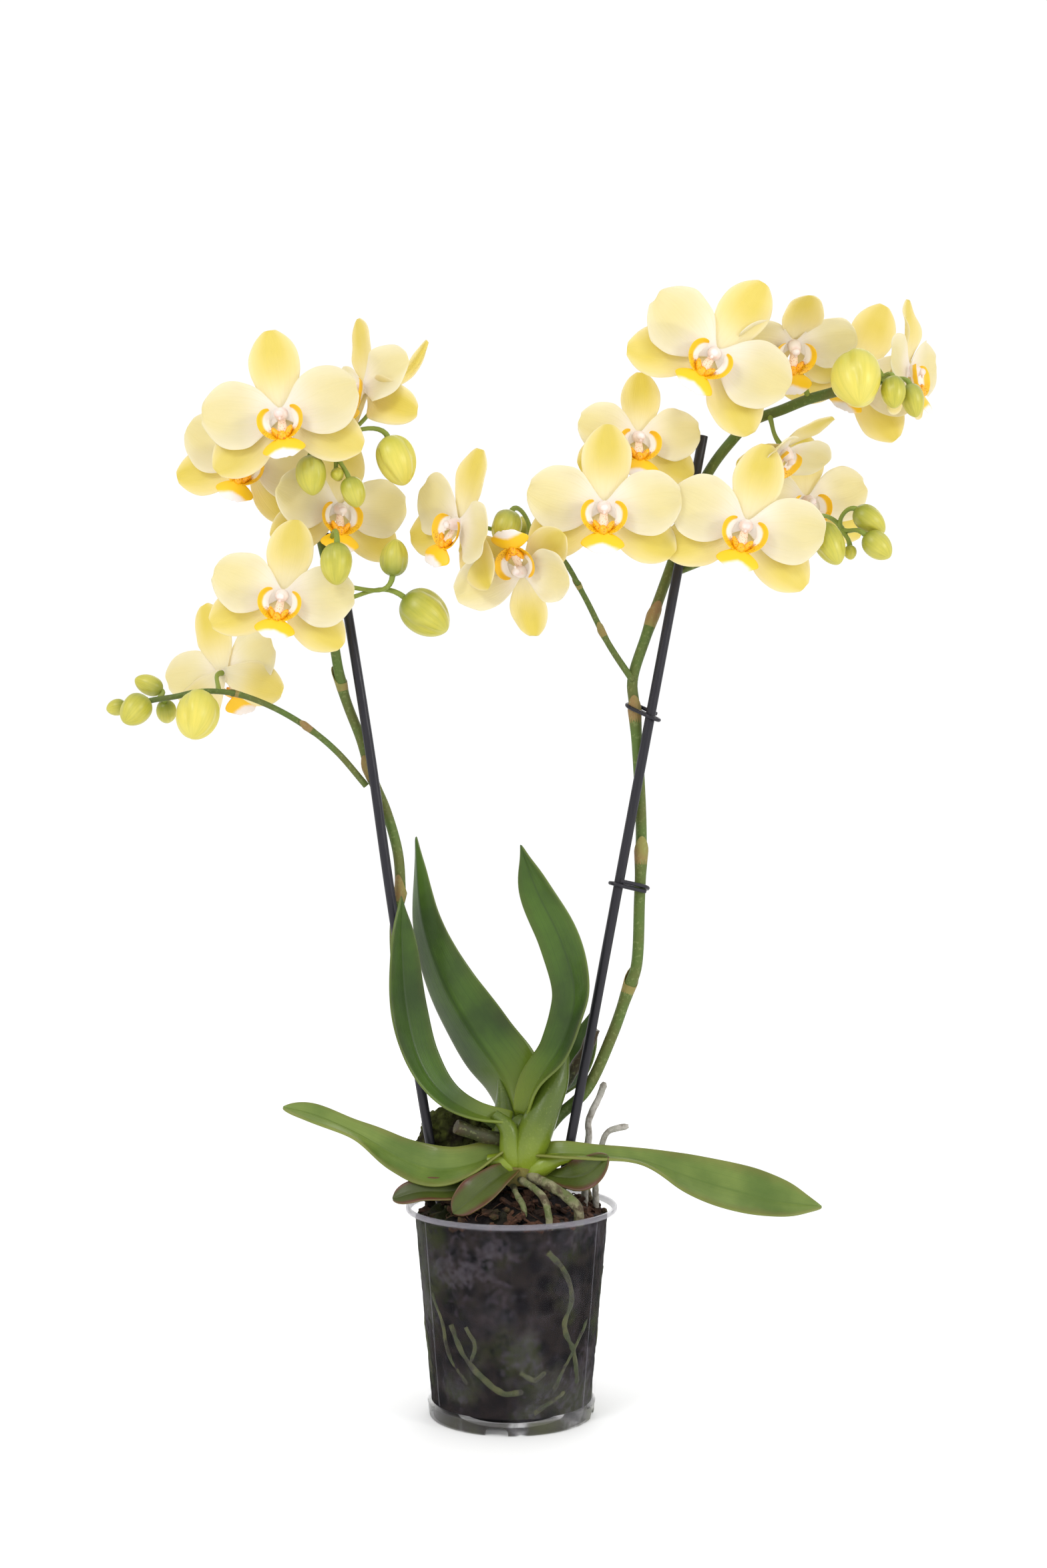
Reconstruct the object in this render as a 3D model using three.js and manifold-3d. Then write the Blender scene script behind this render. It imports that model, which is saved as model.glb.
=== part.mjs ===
// Potted moth orchid: a clear nursery pot of bark with one plant, two staked flower spikes,
// open flowers and buds. Millimetres, +Z up, front towards -Y, pot standing on Z = 0 at the origin.
import * as THREE from "three";
import { mergeVertices } from "three/addons/utils/BufferGeometryUtils.js";
import Module from "manifold-3d";

const wasm = await Module();
wasm.setup();

// ---------------------------------------------------------------- driving dimensions

const GAP = 0.3; // clearance between any two pieces that touch

const POT_RIM_DIAMETER = 120;
const POT_HEIGHT = 118;
const POT_NECK_DIAMETER = 114; // body just under the lip
const POT_BASE_DIAMETER = 93;
const POT_WALL = 1.3;
const LIP_HEIGHT = 2.6;
const FOOT_WIDTH = 3; // width of the ring that the pot stands on
const FOOT_HEIGHT = 7; // the floor round the foot is raised by this much
const FLOOR_DISC_DIAMETER = 58; // middle of the floor, which stands on the table too
const NOTCH_WIDTH = 13; // drainage arch through the foot
const NOTCH_HEIGHT = 5.6;
const NOTCH_COUNT = 4;
const NOTCH_TURN = -10; // degrees that the first arch sits left of the front

const MIX_DROP = 6; // bark at the wall lies this far under the rim
const MIX_MOUND = 14; // and rises by this much at the middle
const MOSS_WIDTH = 47;
const MOSS_DEPTH = 26;
const MOSS_HEIGHT = 68;

const PLANT_WIDTH = 466; // leftmost bud to rightmost flower
const PLANT_HEIGHT = 526; // pot rim to the highest petal
const CROWN_WIDTH = 26;
const CROWN_DEPTH = 20;
const CROWN_HEIGHT = 47;
const LEAF_THICKNESS = 2.2;
const LEAF_FOLD = 0.34; // how steeply each half of a blade rises from the midrib

const STAKE_DIAMETER = 5.6;
const SPIKE_LOW_DIAMETER = 6.6;
const SPIKE_HIGH_DIAMETER = 4.8;
const BRANCH_DIAMETER = 3.8;
const PEDICEL_DIAMETER = 2.8;
const CLIP_THICKNESS = 1.3;
const CLIP_HEIGHT = 3;
const CLIP_SLACK = 0.8; // the clips are a little wide for the slanting stems

const FLOWER_SPAN = 84; // across the two petals of a full flower
const TEPAL_THICKNESS = 1.3;
const COLUMN_DIAMETER = 7;
const COLUMN_BACK = 5; // from the petals back to the end of the ovary

const RIM_Z = POT_HEIGHT;
const UP = new THREE.Vector3(0, 0, 1);
const radians = THREE.MathUtils.degToRad;

// ---------------------------------------------------------------- materials

function paint(colour, roughness, extra = {}) {
  return new THREE.MeshStandardMaterial({ color: colour, roughness, metalness: 0, ...extra });
}

const CLEAR_PLASTIC = () => paint(0xb9beb4, 0.18, { transparent: true, opacity: 0.45 });
const BARK = () => paint(0x4a3524, 0.95);
const MOSS = () => paint(0x3a3420, 1);
const LEAF = () => paint(0x2f5a2a, 0.35);
const YOUNG_LEAF = () => paint(0x8aa33c, 0.45);
const STEM = () => paint(0x6b7f45, 0.6);
const ROOT = () => paint(0x8f9a7c, 0.8);
const DRY = () => paint(0x8a6a48, 0.85);
const BLACK_PLASTIC = () => paint(0x15171a, 0.4);
const PETAL = () => paint(0xefe7b4, 0.5);
const BUD = () => paint(0xb9b95a, 0.5);

// ---------------------------------------------------------------- solids and meshes

// A closed three.js geometry as a solid, facing out.
function solid(geometry) {
  const bare = new THREE.BufferGeometry();
  bare.setAttribute("position", geometry.getAttribute("position"));
  bare.setIndex(geometry.getIndex());
  const merged = mergeVertices(bare, 1e-4);
  const corners = merged.index.array;
  const kept = [];
  for (let i = 0; i < corners.length; i += 3) {
    const [a, b, c] = corners.slice(i, i + 3);
    if (a !== b && b !== c && c !== a) kept.push(a, b, c);
  }
  const make = (triVerts) =>
    new wasm.Manifold(
      new wasm.Mesh({
        numProp: 3,
        vertProperties: merged.attributes.position.array,
        triVerts: new Uint32Array(triVerts),
      }),
    );
  const made = make(kept);
  return made.volume() > 0 ? made : make(kept.reverse());
}

function join(solids) {
  return solids.reduce((whole, next) => whole.add(next));
}

// The biggest of the bodies that a cut leaves.
function biggest(body) {
  return body.decompose().reduce((most, next) => (next.volume() > most.volume() ? next : most));
}

function meshOf(name, body, material) {
  const { vertProperties, triVerts } = body.getMesh();
  const geometry = new THREE.BufferGeometry();
  geometry.setAttribute("position", new THREE.BufferAttribute(vertProperties, 3));
  geometry.setIndex(new THREE.BufferAttribute(triVerts, 1));
  geometry.computeVertexNormals();
  const mesh = new THREE.Mesh(geometry, material);
  mesh.name = name;
  return mesh;
}

// A point of the plant: x and y from the pot's axis, z above the rim, at the plant's drawn size.
const DRAWN_WIDTH = 466;
const DRAWN_HEIGHT = 526;

function at([x, y, z]) {
  const spread = PLANT_WIDTH / DRAWN_WIDTH;
  return new THREE.Vector3(x * spread, y * spread, RIM_Z + (z * PLANT_HEIGHT) / DRAWN_HEIGHT);
}

// A point of a root, which spreads with the mouth of the pot.
const DRAWN_NECK = 114;

function inPot([x, y, z]) {
  const spread = POT_NECK_DIAMETER / DRAWN_NECK;
  return new THREE.Vector3(x * spread, y * spread, RIM_Z + z);
}

function curveThrough(points) {
  return new THREE.CatmullRomCurve3(points.map(at), false, "centripetal");
}

function polygon(radius, sides) {
  const corners = [];
  for (let i = 0; i < sides; i++) {
    const angle = (2 * Math.PI * i) / sides;
    corners.push(new THREE.Vector2(radius * Math.cos(angle), radius * Math.sin(angle)));
  }
  return new THREE.Shape(corners);
}

function tube(path, diameter, sides = 6, step = 9) {
  const steps = Math.max(2, Math.ceil(path.getLength() / step));
  return solid(
    new THREE.ExtrudeGeometry(polygon(diameter / 2, sides), {
      steps,
      extrudePath: path,
      bevelEnabled: false,
    }),
  );
}

// Part of a curve, from one share of its length to another, as a curve of its own.
function stretch(curve, from, to, count = 12) {
  const points = [];
  for (let i = 0; i <= count; i++) points.push(curve.getPointAt(from + ((to - from) * i) / count));
  return new THREE.CatmullRomCurve3(points, false, "centripetal");
}

// A closed skin over a row of equal rings, with a fan from the middle of each end ring.
function loft(rings) {
  const sides = rings[0].length;
  const ends = [rings[0], rings.at(-1)].map((ring) =>
    ring.reduce((sum, p) => sum.add(p), new THREE.Vector3()).divideScalar(sides),
  );
  const corners = [...rings.flat(), ...ends];
  const last = (rings.length - 1) * sides;
  const index = [];
  for (let r = 0; r < last; r += sides)
    for (let s = 0; s < sides; s++) {
      const next = (s + 1) % sides;
      index.push(r + s, r + next, r + sides + next);
      index.push(r + s, r + sides + next, r + sides + s);
    }
  for (let s = 0; s < sides; s++) {
    const next = (s + 1) % sides;
    index.push(last + sides, next, s);
    index.push(last + sides + 1, last + s, last + next);
  }
  const geometry = new THREE.BufferGeometry().setFromPoints(corners);
  geometry.setIndex(index);
  return solid(geometry);
}

// ---------------------------------------------------------------- pot

const bodyRadiusAt = (z) =>
  THREE.MathUtils.lerp(POT_BASE_DIAMETER, POT_NECK_DIAMETER, z / POT_HEIGHT) / 2;
const innerRadiusAt = (z) => bodyRadiusAt(z) - POT_WALL;

// Half of the pot's section: the outside up, the inside down, then the underside of the floor.
function potProfile() {
  const rim = POT_RIM_DIAMETER / 2;
  const lipFoot = POT_HEIGHT - LIP_HEIGHT;
  const disc = FLOOR_DISC_DIAMETER / 2;
  const footInside = POT_BASE_DIAMETER / 2 - FOOT_WIDTH;
  const raised = FOOT_HEIGHT + POT_WALL;
  return [
    [footInside, 0],
    [bodyRadiusAt(0), 0],
    [bodyRadiusAt(FOOT_HEIGHT), FOOT_HEIGHT],
    [bodyRadiusAt(lipFoot), lipFoot],
    [rim, lipFoot],
    [rim, POT_HEIGHT],
    [innerRadiusAt(POT_HEIGHT), POT_HEIGHT],
    [innerRadiusAt(raised), raised],
    [disc + POT_WALL, raised],
    [disc, POT_WALL],
    [0, POT_WALL],
    [0, 0],
    [disc + POT_WALL, 0],
    [disc + 2 * POT_WALL, FOOT_HEIGHT],
    [footInside, FOOT_HEIGHT],
    [footInside, 0],
  ].map(([x, y]) => new THREE.Vector2(x, y));
}

// The lathe turns about Y; a quarter turn stands the pot on Z.
function turned(profile, sides) {
  return solid(new THREE.LatheGeometry(profile, sides).rotateX(Math.PI / 2));
}

function notch(index) {
  const arch = new THREE.Shape();
  const half = NOTCH_WIDTH / 2;
  arch.moveTo(-half, -1);
  arch.lineTo(half, -1);
  arch.lineTo(half, NOTCH_HEIGHT - 2);
  arch.lineTo(half - 2, NOTCH_HEIGHT);
  arch.lineTo(2 - half, NOTCH_HEIGHT);
  arch.lineTo(-half, NOTCH_HEIGHT - 2);
  const start = FLOOR_DISC_DIAMETER / 2 + 3 * POT_WALL;
  const block = new THREE.ExtrudeGeometry(arch, { depth: POT_BASE_DIAMETER / 2, bevelEnabled: false });
  block.rotateX(Math.PI / 2);
  block.translate(0, -start, 0);
  block.rotateZ(radians(NOTCH_TURN + (360 * index) / NOTCH_COUNT));
  return solid(block);
}

function potBody() {
  let body = turned(potProfile(), 32);
  for (let i = 0; i < NOTCH_COUNT; i++) body = body.subtract(notch(i));
  return body;
}

// ---------------------------------------------------------------- potting mix and moss

// The bark fills the pot up to a mound, GAP clear of wall and floor.
function mixProfile() {
  const floor = FOOT_HEIGHT + POT_WALL + GAP;
  const disc = FLOOR_DISC_DIAMETER / 2 - GAP;
  const edge = POT_HEIGHT - MIX_DROP;
  return [
    [0, POT_WALL + GAP],
    [disc, POT_WALL + GAP],
    [disc + POT_WALL, floor],
    [innerRadiusAt(floor) - GAP, floor],
    [innerRadiusAt(edge) - GAP, edge],
    [innerRadiusAt(edge) * 0.72, edge + MIX_MOUND * 0.5],
    [innerRadiusAt(edge) * 0.4, edge + MIX_MOUND * 0.9],
    [0, edge + MIX_MOUND],
  ].map(([x, y]) => new THREE.Vector2(x, y));
}

const MOSS_INSET = 17; // from the inside of the wall, at the moss's foot, to its middle
const MOSS_TURN = 146; // degrees round the pot from +X
const MOSS_SUNK = 8; // its foot lies this far under the edge of the bark

// A torn block of peat and moss that stands in the bark behind the left leaves.
function mossBody(grow = 0) {
  const rings = [];
  const bottom = RIM_Z - MIX_DROP - MOSS_SUNK;
  const out = innerRadiusAt(bottom) - MOSS_INSET;
  const middle = [out * Math.cos(radians(MOSS_TURN)), out * Math.sin(radians(MOSS_TURN))];
  for (const [share, wide] of [[0, 0.76], [0.2, 0.78], [0.5, 1], [0.85, 0.86], [1, 0.6]]) {
    const ring = [];
    for (let i = 0; i < 9; i++) {
      const angle = (2 * Math.PI * i) / 9 + 0.25;
      const rough = wide * (1 + 0.1 * Math.sin(3 * angle + 7 * share));
      const x = middle[0] + (MOSS_WIDTH / 2 * rough + grow) * Math.cos(angle);
      const y = middle[1] + (MOSS_DEPTH / 2 * rough + grow) * Math.sin(angle);
      const lift = share === 1 ? grow : share === 0 ? -grow : 0;
      ring.push(new THREE.Vector3(x, y, bottom + MOSS_HEIGHT * share + lift));
    }
    rings.push(ring);
  }
  return loft(rings);
}

// ---------------------------------------------------------------- crown and leaves

const CROWN_X = 6;
const CROWN_FOOT = 9; // the crown starts this far above the rim, on the mound

function crownBody(grow = 0) {
  const rings = [];
  for (const [share, wide] of [[0, 0.7], [0.15, 0.95], [0.6, 1], [0.85, 0.75], [1, 0.35]]) {
    const ring = [];
    for (let i = 0; i < 12; i++) {
      const angle = (2 * Math.PI * i) / 12;
      const x = CROWN_X + ((CROWN_WIDTH / 2) * wide + grow) * Math.cos(angle);
      const y = ((CROWN_DEPTH / 2) * wide + grow) * Math.sin(angle);
      const lift = share === 1 ? grow : share === 0 ? -grow : 0;
      ring.push(new THREE.Vector3(x, y, RIM_Z + CROWN_FOOT + CROWN_HEIGHT * share + lift));
    }
    rings.push(ring);
  }
  return loft(rings);
}

// Each leaf runs from inside the crown to its tip. A station is a point, half the blade's
// width there, and the way that its upper side faces.
const LEAVES = {
  leaf_tall_left: [
    [[4, 7, 49], 8, [-0.2, 0.8, 0.5]],
    [[-4, 16, 69], 17, [0.4, 0.8, 0.5]],
    [[-20, 20, 92], 20, [0.55, 0.75, 0.35]],
    [[-38, 22, 122], 17, [0.75, 0.6, 0.25]],
    [[-51, 22, 160], 12, [0.9, 0.4, 0.1]],
    [[-55, 20, 208], 1, [0.9, 0.4, 0]],
  ],
  leaf_front_left: [
    [[0, -4, 46], 6, [0, -0.5, 0.85]],
    [[-22, -10, 53], 8, [0.2, -0.6, 0.75]],
    [[-40, -12, 65], 10, [0.45, -0.7, 0.5]],
    [[-52, -12, 83], 12, [0.6, -0.75, 0.2]],
    [[-59, -10, 112], 12, [0.5, -0.85, 0]],
    [[-62, -8, 150], 8, [0.5, -0.85, 0]],
    [[-62, -6, 175], 1, [0.5, -0.85, 0]],
  ],
  leaf_tall_right: [
    [[8, -2, 50], 6, [-0.2, -0.6, 0.75]],
    [[15, -6, 70], 12, [-0.5, -0.5, 0.7]],
    [[27, -8, 88], 14, [-0.7, -0.6, 0.4]],
    [[34, -8, 106], 14, [-0.75, -0.65, 0.1]],
    [[36, -7, 121], 13, [-0.55, -0.8, 0.05]],
    [[28, -8, 150], 13, [-0.3, -0.93, -0.1]],
    [[14, -10, 179], 10, [-0.25, -0.93, -0.2]],
    [[5, -10, 204], 1, [-0.25, -0.93, -0.2]],
  ],
  leaf_back_right: [
    [[6, 8, 34], 6, [-0.4, 0.3, 0.85]],
    [[22, 26, 51], 10, [-0.6, -0.2, 0.75]],
    [[38, 32, 68], 12, [-0.75, -0.5, 0.4]],
    [[45, 33, 88], 11, [-0.7, -0.65, 0.2]],
    [[47, 33, 107], 1, [-0.7, -0.65, 0.2]],
  ],
  leaf_low_left: [
    [[-1, -3, 31], 6, [0, -0.3, 0.95]],
    [[-25, -11, 23], 9, [0, -0.5, 0.85]],
    [[-43, -14, 22], 11, [0, -0.75, 0.65]],
    [[-62, -15, 29], 9, [-0.2, -0.8, 0.5]],
    [[-88, -16, 43], 8, [-0.3, -0.4, 0.85]],
    [[-111, -16, 53], 7, [-0.2, -0.6, 0.75]],
    [[-128, -16, 57], 1, [0, -0.7, 0.7]],
  ],
  leaf_small_left: [
    [[-3, -6, 19], 4, [0, -0.5, 0.85]],
    [[-32, -22, 11], 6, [0, -0.5, 0.85]],
    [[-54, -24, 12], 5, [0, -0.5, 0.85]],
    [[-66, -24, 8], 1, [0, -0.5, 0.85]],
  ],
  leaf_small_front: [
    [[4, -6, 22], 4, [0, -0.6, 0.8]],
    [[-3, -22, 19], 6, [0, -0.8, 0.6]],
    [[-14, -30, 14], 5, [0, -0.85, 0.5]],
    [[-21, -35, 3], 1, [0, -0.9, 0.4]],
  ],
  leaf_low_right: [
    [[13, -6, 28], 5, [0, -0.3, 0.95]],
    [[28, -13, 30], 5, [0, -0.3, 0.95]],
    [[45, -15, 30], 6, [0, -0.3, 0.95]],
    [[72, -14, 27], 7, [0, -0.4, 0.9]],
    [[101, -15, 17], 14, [0, -0.7, 0.7]],
    [[129, -16, 9], 16, [0.1, -0.75, 0.65]],
    [[152, -16, 4], 12, [0.2, -0.75, 0.6]],
    [[174, -15, 1], 1, [0.3, -0.7, 0.6]],
  ],
  leaf_small_right: [
    [[13, -4, 20], 4, [0, -0.4, 0.9]],
    [[26, -11, 22], 5, [0, -0.5, 0.85]],
    [[42, -16, 20], 6, [0.2, -0.6, 0.75]],
    [[55, -21, 23], 1, [0.2, -0.8, 0.5]],
  ],
};

// A blade: two thin halves that rise from the midrib, lofted along the middle line.
function leafBody(stations) {
  const middle = curveThrough(stations.map(([point]) => point));
  const faces = new THREE.CatmullRomCurve3(stations.map(([, , face]) => new THREE.Vector3(...face)));
  const widths = new THREE.CatmullRomCurve3(stations.map(([, wide]) => new THREE.Vector3(wide)));
  const count = Math.ceil(middle.getLength() / 14);
  const rings = [];
  for (let i = 0; i <= count; i++) {
    const t = i / count;
    const centre = middle.getPoint(t);
    const side = middle.getTangent(t).cross(faces.getPoint(t)).normalize();
    const face = side.clone().cross(middle.getTangent(t)).normalize();
    const half = widths.getPoint(t).x;
    const rise = half * LEAF_FOLD;
    const put = (across, up) => centre.clone().addScaledVector(side, across).addScaledVector(face, up);
    const thick = Math.min(LEAF_THICKNESS, half) / 2;
    rings.push([
      put(-half, rise + thick / 2),
      put(0, thick),
      put(half, rise + thick / 2),
      put(half, rise - thick / 2),
      put(0, -thick),
      put(-half, rise - thick / 2),
    ]);
  }
  return loft(rings);
}

// ---------------------------------------------------------------- roots and old spikes

// A point on the inside of the pot's wall, at an angle from the front and a share of the height.
function onWall(angle, share, inset) {
  const z = POT_HEIGHT * share;
  const radius = innerRadiusAt(z) - inset;
  const turn = radians(angle - 90);
  return new THREE.Vector3(radius * Math.cos(turn), radius * Math.sin(turn), z);
}

const ROOTS = {
  root_front_thick: {
    diameter: 5.8,
    points: [[10, -10, 18], [22, -27, 15], [31, -33, 10], [37, -33, 3], [36, -32, -12]],
  },
  root_front_thin: {
    diameter: 4,
    points: [[4, -9, 16], [10, -24, 15], [18, -37, 10], [21, -43, -2], [20, -42, -14]],
  },
  root_front_broken: {
    diameter: 3.4,
    points: [[1, -9, 12], [3, -24, 10], [7, -35, 4], [7, -36, -12]],
  },
  root_upright: {
    diameter: 4,
    points: [[42, 8, -10], [42, 8, 24], [44, 8, 36], [44, 7, 46], [50, 6, 60], [53, 6, 68]],
  },
  root_pale: {
    diameter: 3.6,
    points: [[48, -2, -10], [48, -2, 24], [51, -4, 34], [55, -5, 42], [66, -6, 45]],
  },
  root_back: { diameter: 4.4, points: [[14, 7, 15], [28, 12, 15], [40, 17, 12], [46, 19, -10]] },
};

const WALL_ROOTS = {
  root_wall_left: {
    diameter: 5,
    way: [[-42, 0.5], [-34, 0.38], [-20, 0.27], [-4, 0.2], [10, 0.21]],
  },
  root_wall_right: {
    diameter: 4.4,
    way: [[22, 0.86], [34, 0.76], [41, 0.62], [36, 0.5], [46, 0.36], [52, 0.2]],
  },
};

const OLD_SPIKES = {
  old_spike_left: { diameter: 8, points: [[-2, -2, 36], [-16, -8, 40], [-31, -13, 46]] },
  old_spike_right: { diameter: 7, points: [[14, 3, 48], [30, 8, 67], [43, 10, 87], [47, 9, 98]] },
};

// ---------------------------------------------------------------- stakes, spikes and branches

const STAKES = {
  stake_left: [[-100.5, 5, 383], [-99, 5, 372], [-81, 3, 260], [-68, 4, 169], [-47, 4, 38], [-33, 4, -40]],
  stake_right: [[109, 4, 436], [71.5, 1, 238], [34, -2, 39], [19, -3, -40]],
};

const SPIKE_ROUTES = {
  spike_left: [
    [0, 6, 38], [-22, 6, 53], [-40, 8, 65], [-54, 14, 84], [-63, 14, 112], [-67, 14, 154],
    [-64, 12, 175], [-65, 11, 198],
    [-72, 12, 223], [-80, 12, 242], [-86, 11, 263], [-96, 7, 291], [-102, -3, 331], [-104, -2, 358],
    [-109, 4, 381], [-114, 12, 408], [-117, 11, 430], [-113, 0, 439], [-105, -20, 430], [-97, -28, 420],
  ],
  spike_right: [
    [13, 4, 30], [26, 5, 48], [42, 6, 63], [57, 7, 94], [67, 8, 122], [71, 8, 133], [73, 8, 172],
    [74, 8, 207], [73, 8, 238], [70, 8, 283], [69, 8, 297], [77, 10, 323], [93, 12, 368], [100, 12, 390],
    [113, 10, 417], [124, 9, 432], [137, 10, 445], [155, 9, 452], [168, 7, 457], [180, 4, 460],
    [194, -8, 462], [206, -25, 463],
  ],
};

const BRANCH_ROUTES = {
  branch_left: [
    [-83, 9, 237], [-99, 4, 256], [-114, -3, 269], [-134, -7, 281], [-156, -8, 289], [-175, -10, 290],
    [-189, -12, 287], [-201, -14, 285], [-212, -14, 282],
  ],
  branch_middle: [[69, 6, 297], [55, 4, 318], [41, 0, 345], [28, -4, 366], [17, -6, 372], [10, -8, 376]],
  branch_right: [[97, 9, 360], [108, 4, 364], [130, 2, 374], [156, 3, 380], [177, 1, 382], [187, -6, 381]],
};

const CLIPS = {
  clip_right_high: { stake: "stake_right", spike: "spike_right", height: 279, round: SPIKE_LOW_DIAMETER },
  clip_right_low: { stake: "stake_right", spike: "spike_right", height: 180, round: SPIKE_LOW_DIAMETER },
  clip_left: { stake: "stake_left", spike: "spike_left", height: 379, round: STAKE_DIAMETER },
};

const curves = {};
for (const [name, points] of Object.entries({ ...STAKES, ...SPIKE_ROUTES, ...BRANCH_ROUTES }))
  curves[name] = curveThrough(points);

// The share of a curve's length whose point lies nearest to a given one.
function nearestShare(curve, point) {
  let best = 0;
  const off = (share) => curve.getPointAt(share).distanceTo(point);
  for (let i = 0; i <= 200; i++) if (off(i / 200) < off(best)) best = i / 200;
  return best;
}

// The point at a height on a curve that mostly climbs.
function atHeight(curve, z) {
  const shares = Array.from({ length: 201 }, (_, i) => i / 200);
  const off = (share) => Math.abs(curve.getPointAt(share).z - z);
  return curve.getPointAt(shares.reduce((best, share) => (off(share) < off(best) ? share : best)));
}

// A flat loop round the stake and the spike beside it, GAP clear of the thicker of the two.
function clipBody({ stake, spike, height, round }) {
  const z = at([0, 0, height]).z;
  const [rod, stem] = [atHeight(curves[stake], z), atHeight(curves[spike], z)];
  const apart = Math.hypot(stem.x - rod.x, stem.y - rod.y);
  const inside = round / 2 + GAP + CLIP_SLACK;
  const loop = (radius, Kind) => {
    const outline = new Kind();
    outline.absarc(apart, 0, radius, -Math.PI / 2, Math.PI / 2);
    outline.absarc(0, 0, radius, Math.PI / 2, 1.5 * Math.PI);
    return outline;
  };
  const outline = loop(inside + CLIP_THICKNESS, THREE.Shape);
  outline.holes.push(loop(inside, THREE.Path));
  const band = new THREE.ExtrudeGeometry(outline, {
    depth: CLIP_HEIGHT,
    curveSegments: 4,
    bevelEnabled: false,
  });
  band.rotateZ(Math.atan2(stem.y - rod.y, stem.x - rod.x));
  band.translate(rod.x, rod.y, z - CLIP_HEIGHT / 2);
  return solid(band);
}

// ---------------------------------------------------------------- flowers

// Each flower: its middle, the way it faces (turn to the right, tilt up, roll clockwise, in
// degrees), its span as a share of a full one, and the stem that carries it.
const FLOWERS = {
  flower_left_top: {
    middle: [-126, -38, 441],
    turn: -5,
    tilt: 2,
    roll: -9,
    share: 1.04,
    stem: "spike_left",
    from: 0.9,
    leave: [0, -0.3, 1],
  },
  flower_left_behind: {
    middle: [-148, -2, 421],
    turn: -8,
    tilt: 0,
    roll: 20,
    share: 0.96,
    stem: "spike_left",
  },
  flower_left_front: {
    middle: [-126, -34, 342],
    turn: 0,
    tilt: 0,
    roll: 10,
    share: 0.93,
    stem: "spike_left",
  },
  flower_left_back: {
    middle: [-165, 18, 302],
    turn: 155,
    tilt: 5,
    roll: 15,
    share: 0.9,
    stem: "branch_left",
  },
  flower_left_side: {
    middle: [-83, -12, 460],
    turn: -60,
    tilt: 5,
    roll: -8,
    share: 0.88,
    stem: "spike_left",
    from: 0.97,
    leave: [1, 0.7, -0.2],
  },
  flower_left_low: {
    middle: [-97, -8, 393],
    turn: 22,
    tilt: -4,
    roll: 5,
    share: 0.92,
    stem: "spike_left",
  },
  flower_middle_left: {
    middle: [-29, -30, 382],
    turn: -52,
    tilt: 0,
    roll: 26,
    share: 0.95,
    stem: "branch_middle",
  },
  flower_middle_hanging: {
    middle: [6, -34, 355],
    turn: -25,
    tilt: -15,
    roll: 176,
    share: 0.8,
    stem: "branch_middle",
  },
  flower_middle_front: {
    middle: [51, -38, 390],
    turn: 0,
    tilt: 0,
    roll: 3,
    share: 1.0,
    stem: "spike_right",
  },
  flower_middle_behind: {
    middle: [71, -16, 432],
    turn: 8,
    tilt: 4,
    roll: 4,
    share: 0.82,
    stem: "spike_right",
  },
  flower_right_top: {
    middle: [112, -34, 475],
    turn: 0,
    tilt: 0,
    roll: 35,
    share: 1.05,
    stem: "spike_right",
  },
  flower_right_nodding: {
    middle: [158, -16, 484],
    turn: 5,
    tilt: -34,
    roll: 0,
    share: 0.82,
    stem: "spike_right",
  },
  flower_right_behind: {
    middle: [200, 36, 477],
    turn: 6,
    tilt: 0,
    roll: 24,
    share: 0.98,
    stem: "spike_right",
    from: 0.95,
    leave: [0, 1, -0.8],
  },
  flower_right_end: {
    middle: [226, 4, 473],
    turn: 62,
    tilt: 0,
    roll: -5,
    share: 0.88,
    stem: "spike_right",
  },
  flower_right_side: {
    middle: [154, -8, 426],
    turn: 55,
    tilt: -50,
    roll: 0,
    share: 0.72,
    stem: "spike_right",
  },
  flower_right_front: {
    middle: [129, -36, 380],
    turn: 0,
    tilt: 0,
    roll: 15,
    share: 1.02,
    stem: "branch_right",
  },
  flower_right_low: {
    middle: [172, 34, 403],
    turn: 16,
    tilt: 0,
    roll: -5,
    share: 0.88,
    stem: "branch_right",
    from: 0.82,
    leave: [0.6, 1, -0.7],
  },
};

// The way a flower faces, as a rotation of one that faces -Y with its top sepal up.
function facing({ turn, tilt, roll }) {
  return new THREE.Euler(radians(-tilt), radians(roll), radians(turn), "ZXY");
}

// One flat sepal or petal that grows up from the middle, then turns to its place.
function tepal(length, width, foot, widest, angle, back) {
  const half = width / 2;
  const outline = new THREE.Shape();
  outline.moveTo(foot, 0);
  outline.quadraticCurveTo(half, length * widest * 0.45, half, length * widest);
  outline.quadraticCurveTo(half * 0.95, length * 0.93, 0, length);
  outline.quadraticCurveTo(-half * 0.95, length * 0.93, -half, length * widest);
  outline.quadraticCurveTo(-half, length * widest * 0.45, -foot, 0);
  const blade = new THREE.ExtrudeGeometry(outline, {
    depth: TEPAL_THICKNESS,
    curveSegments: 2,
    bevelEnabled: false,
  });
  blade.rotateX(Math.PI / 2);
  blade.translate(0, back, 0);
  blade.rotateY(radians(angle));
  return solid(blade);
}

function column() {
  const radius = COLUMN_DIAMETER / 2;
  const profile = [
    [0, -COLUMN_BACK],
    [radius * 0.55, -COLUMN_BACK],
    [radius, 0],
    [radius, 6],
    [radius * 0.6, 10],
    [0, 11],
  ].map(([x, y]) => new THREE.Vector2(x, y));
  return solid(new THREE.LatheGeometry(profile, 6).rotateZ(Math.PI));
}

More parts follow.
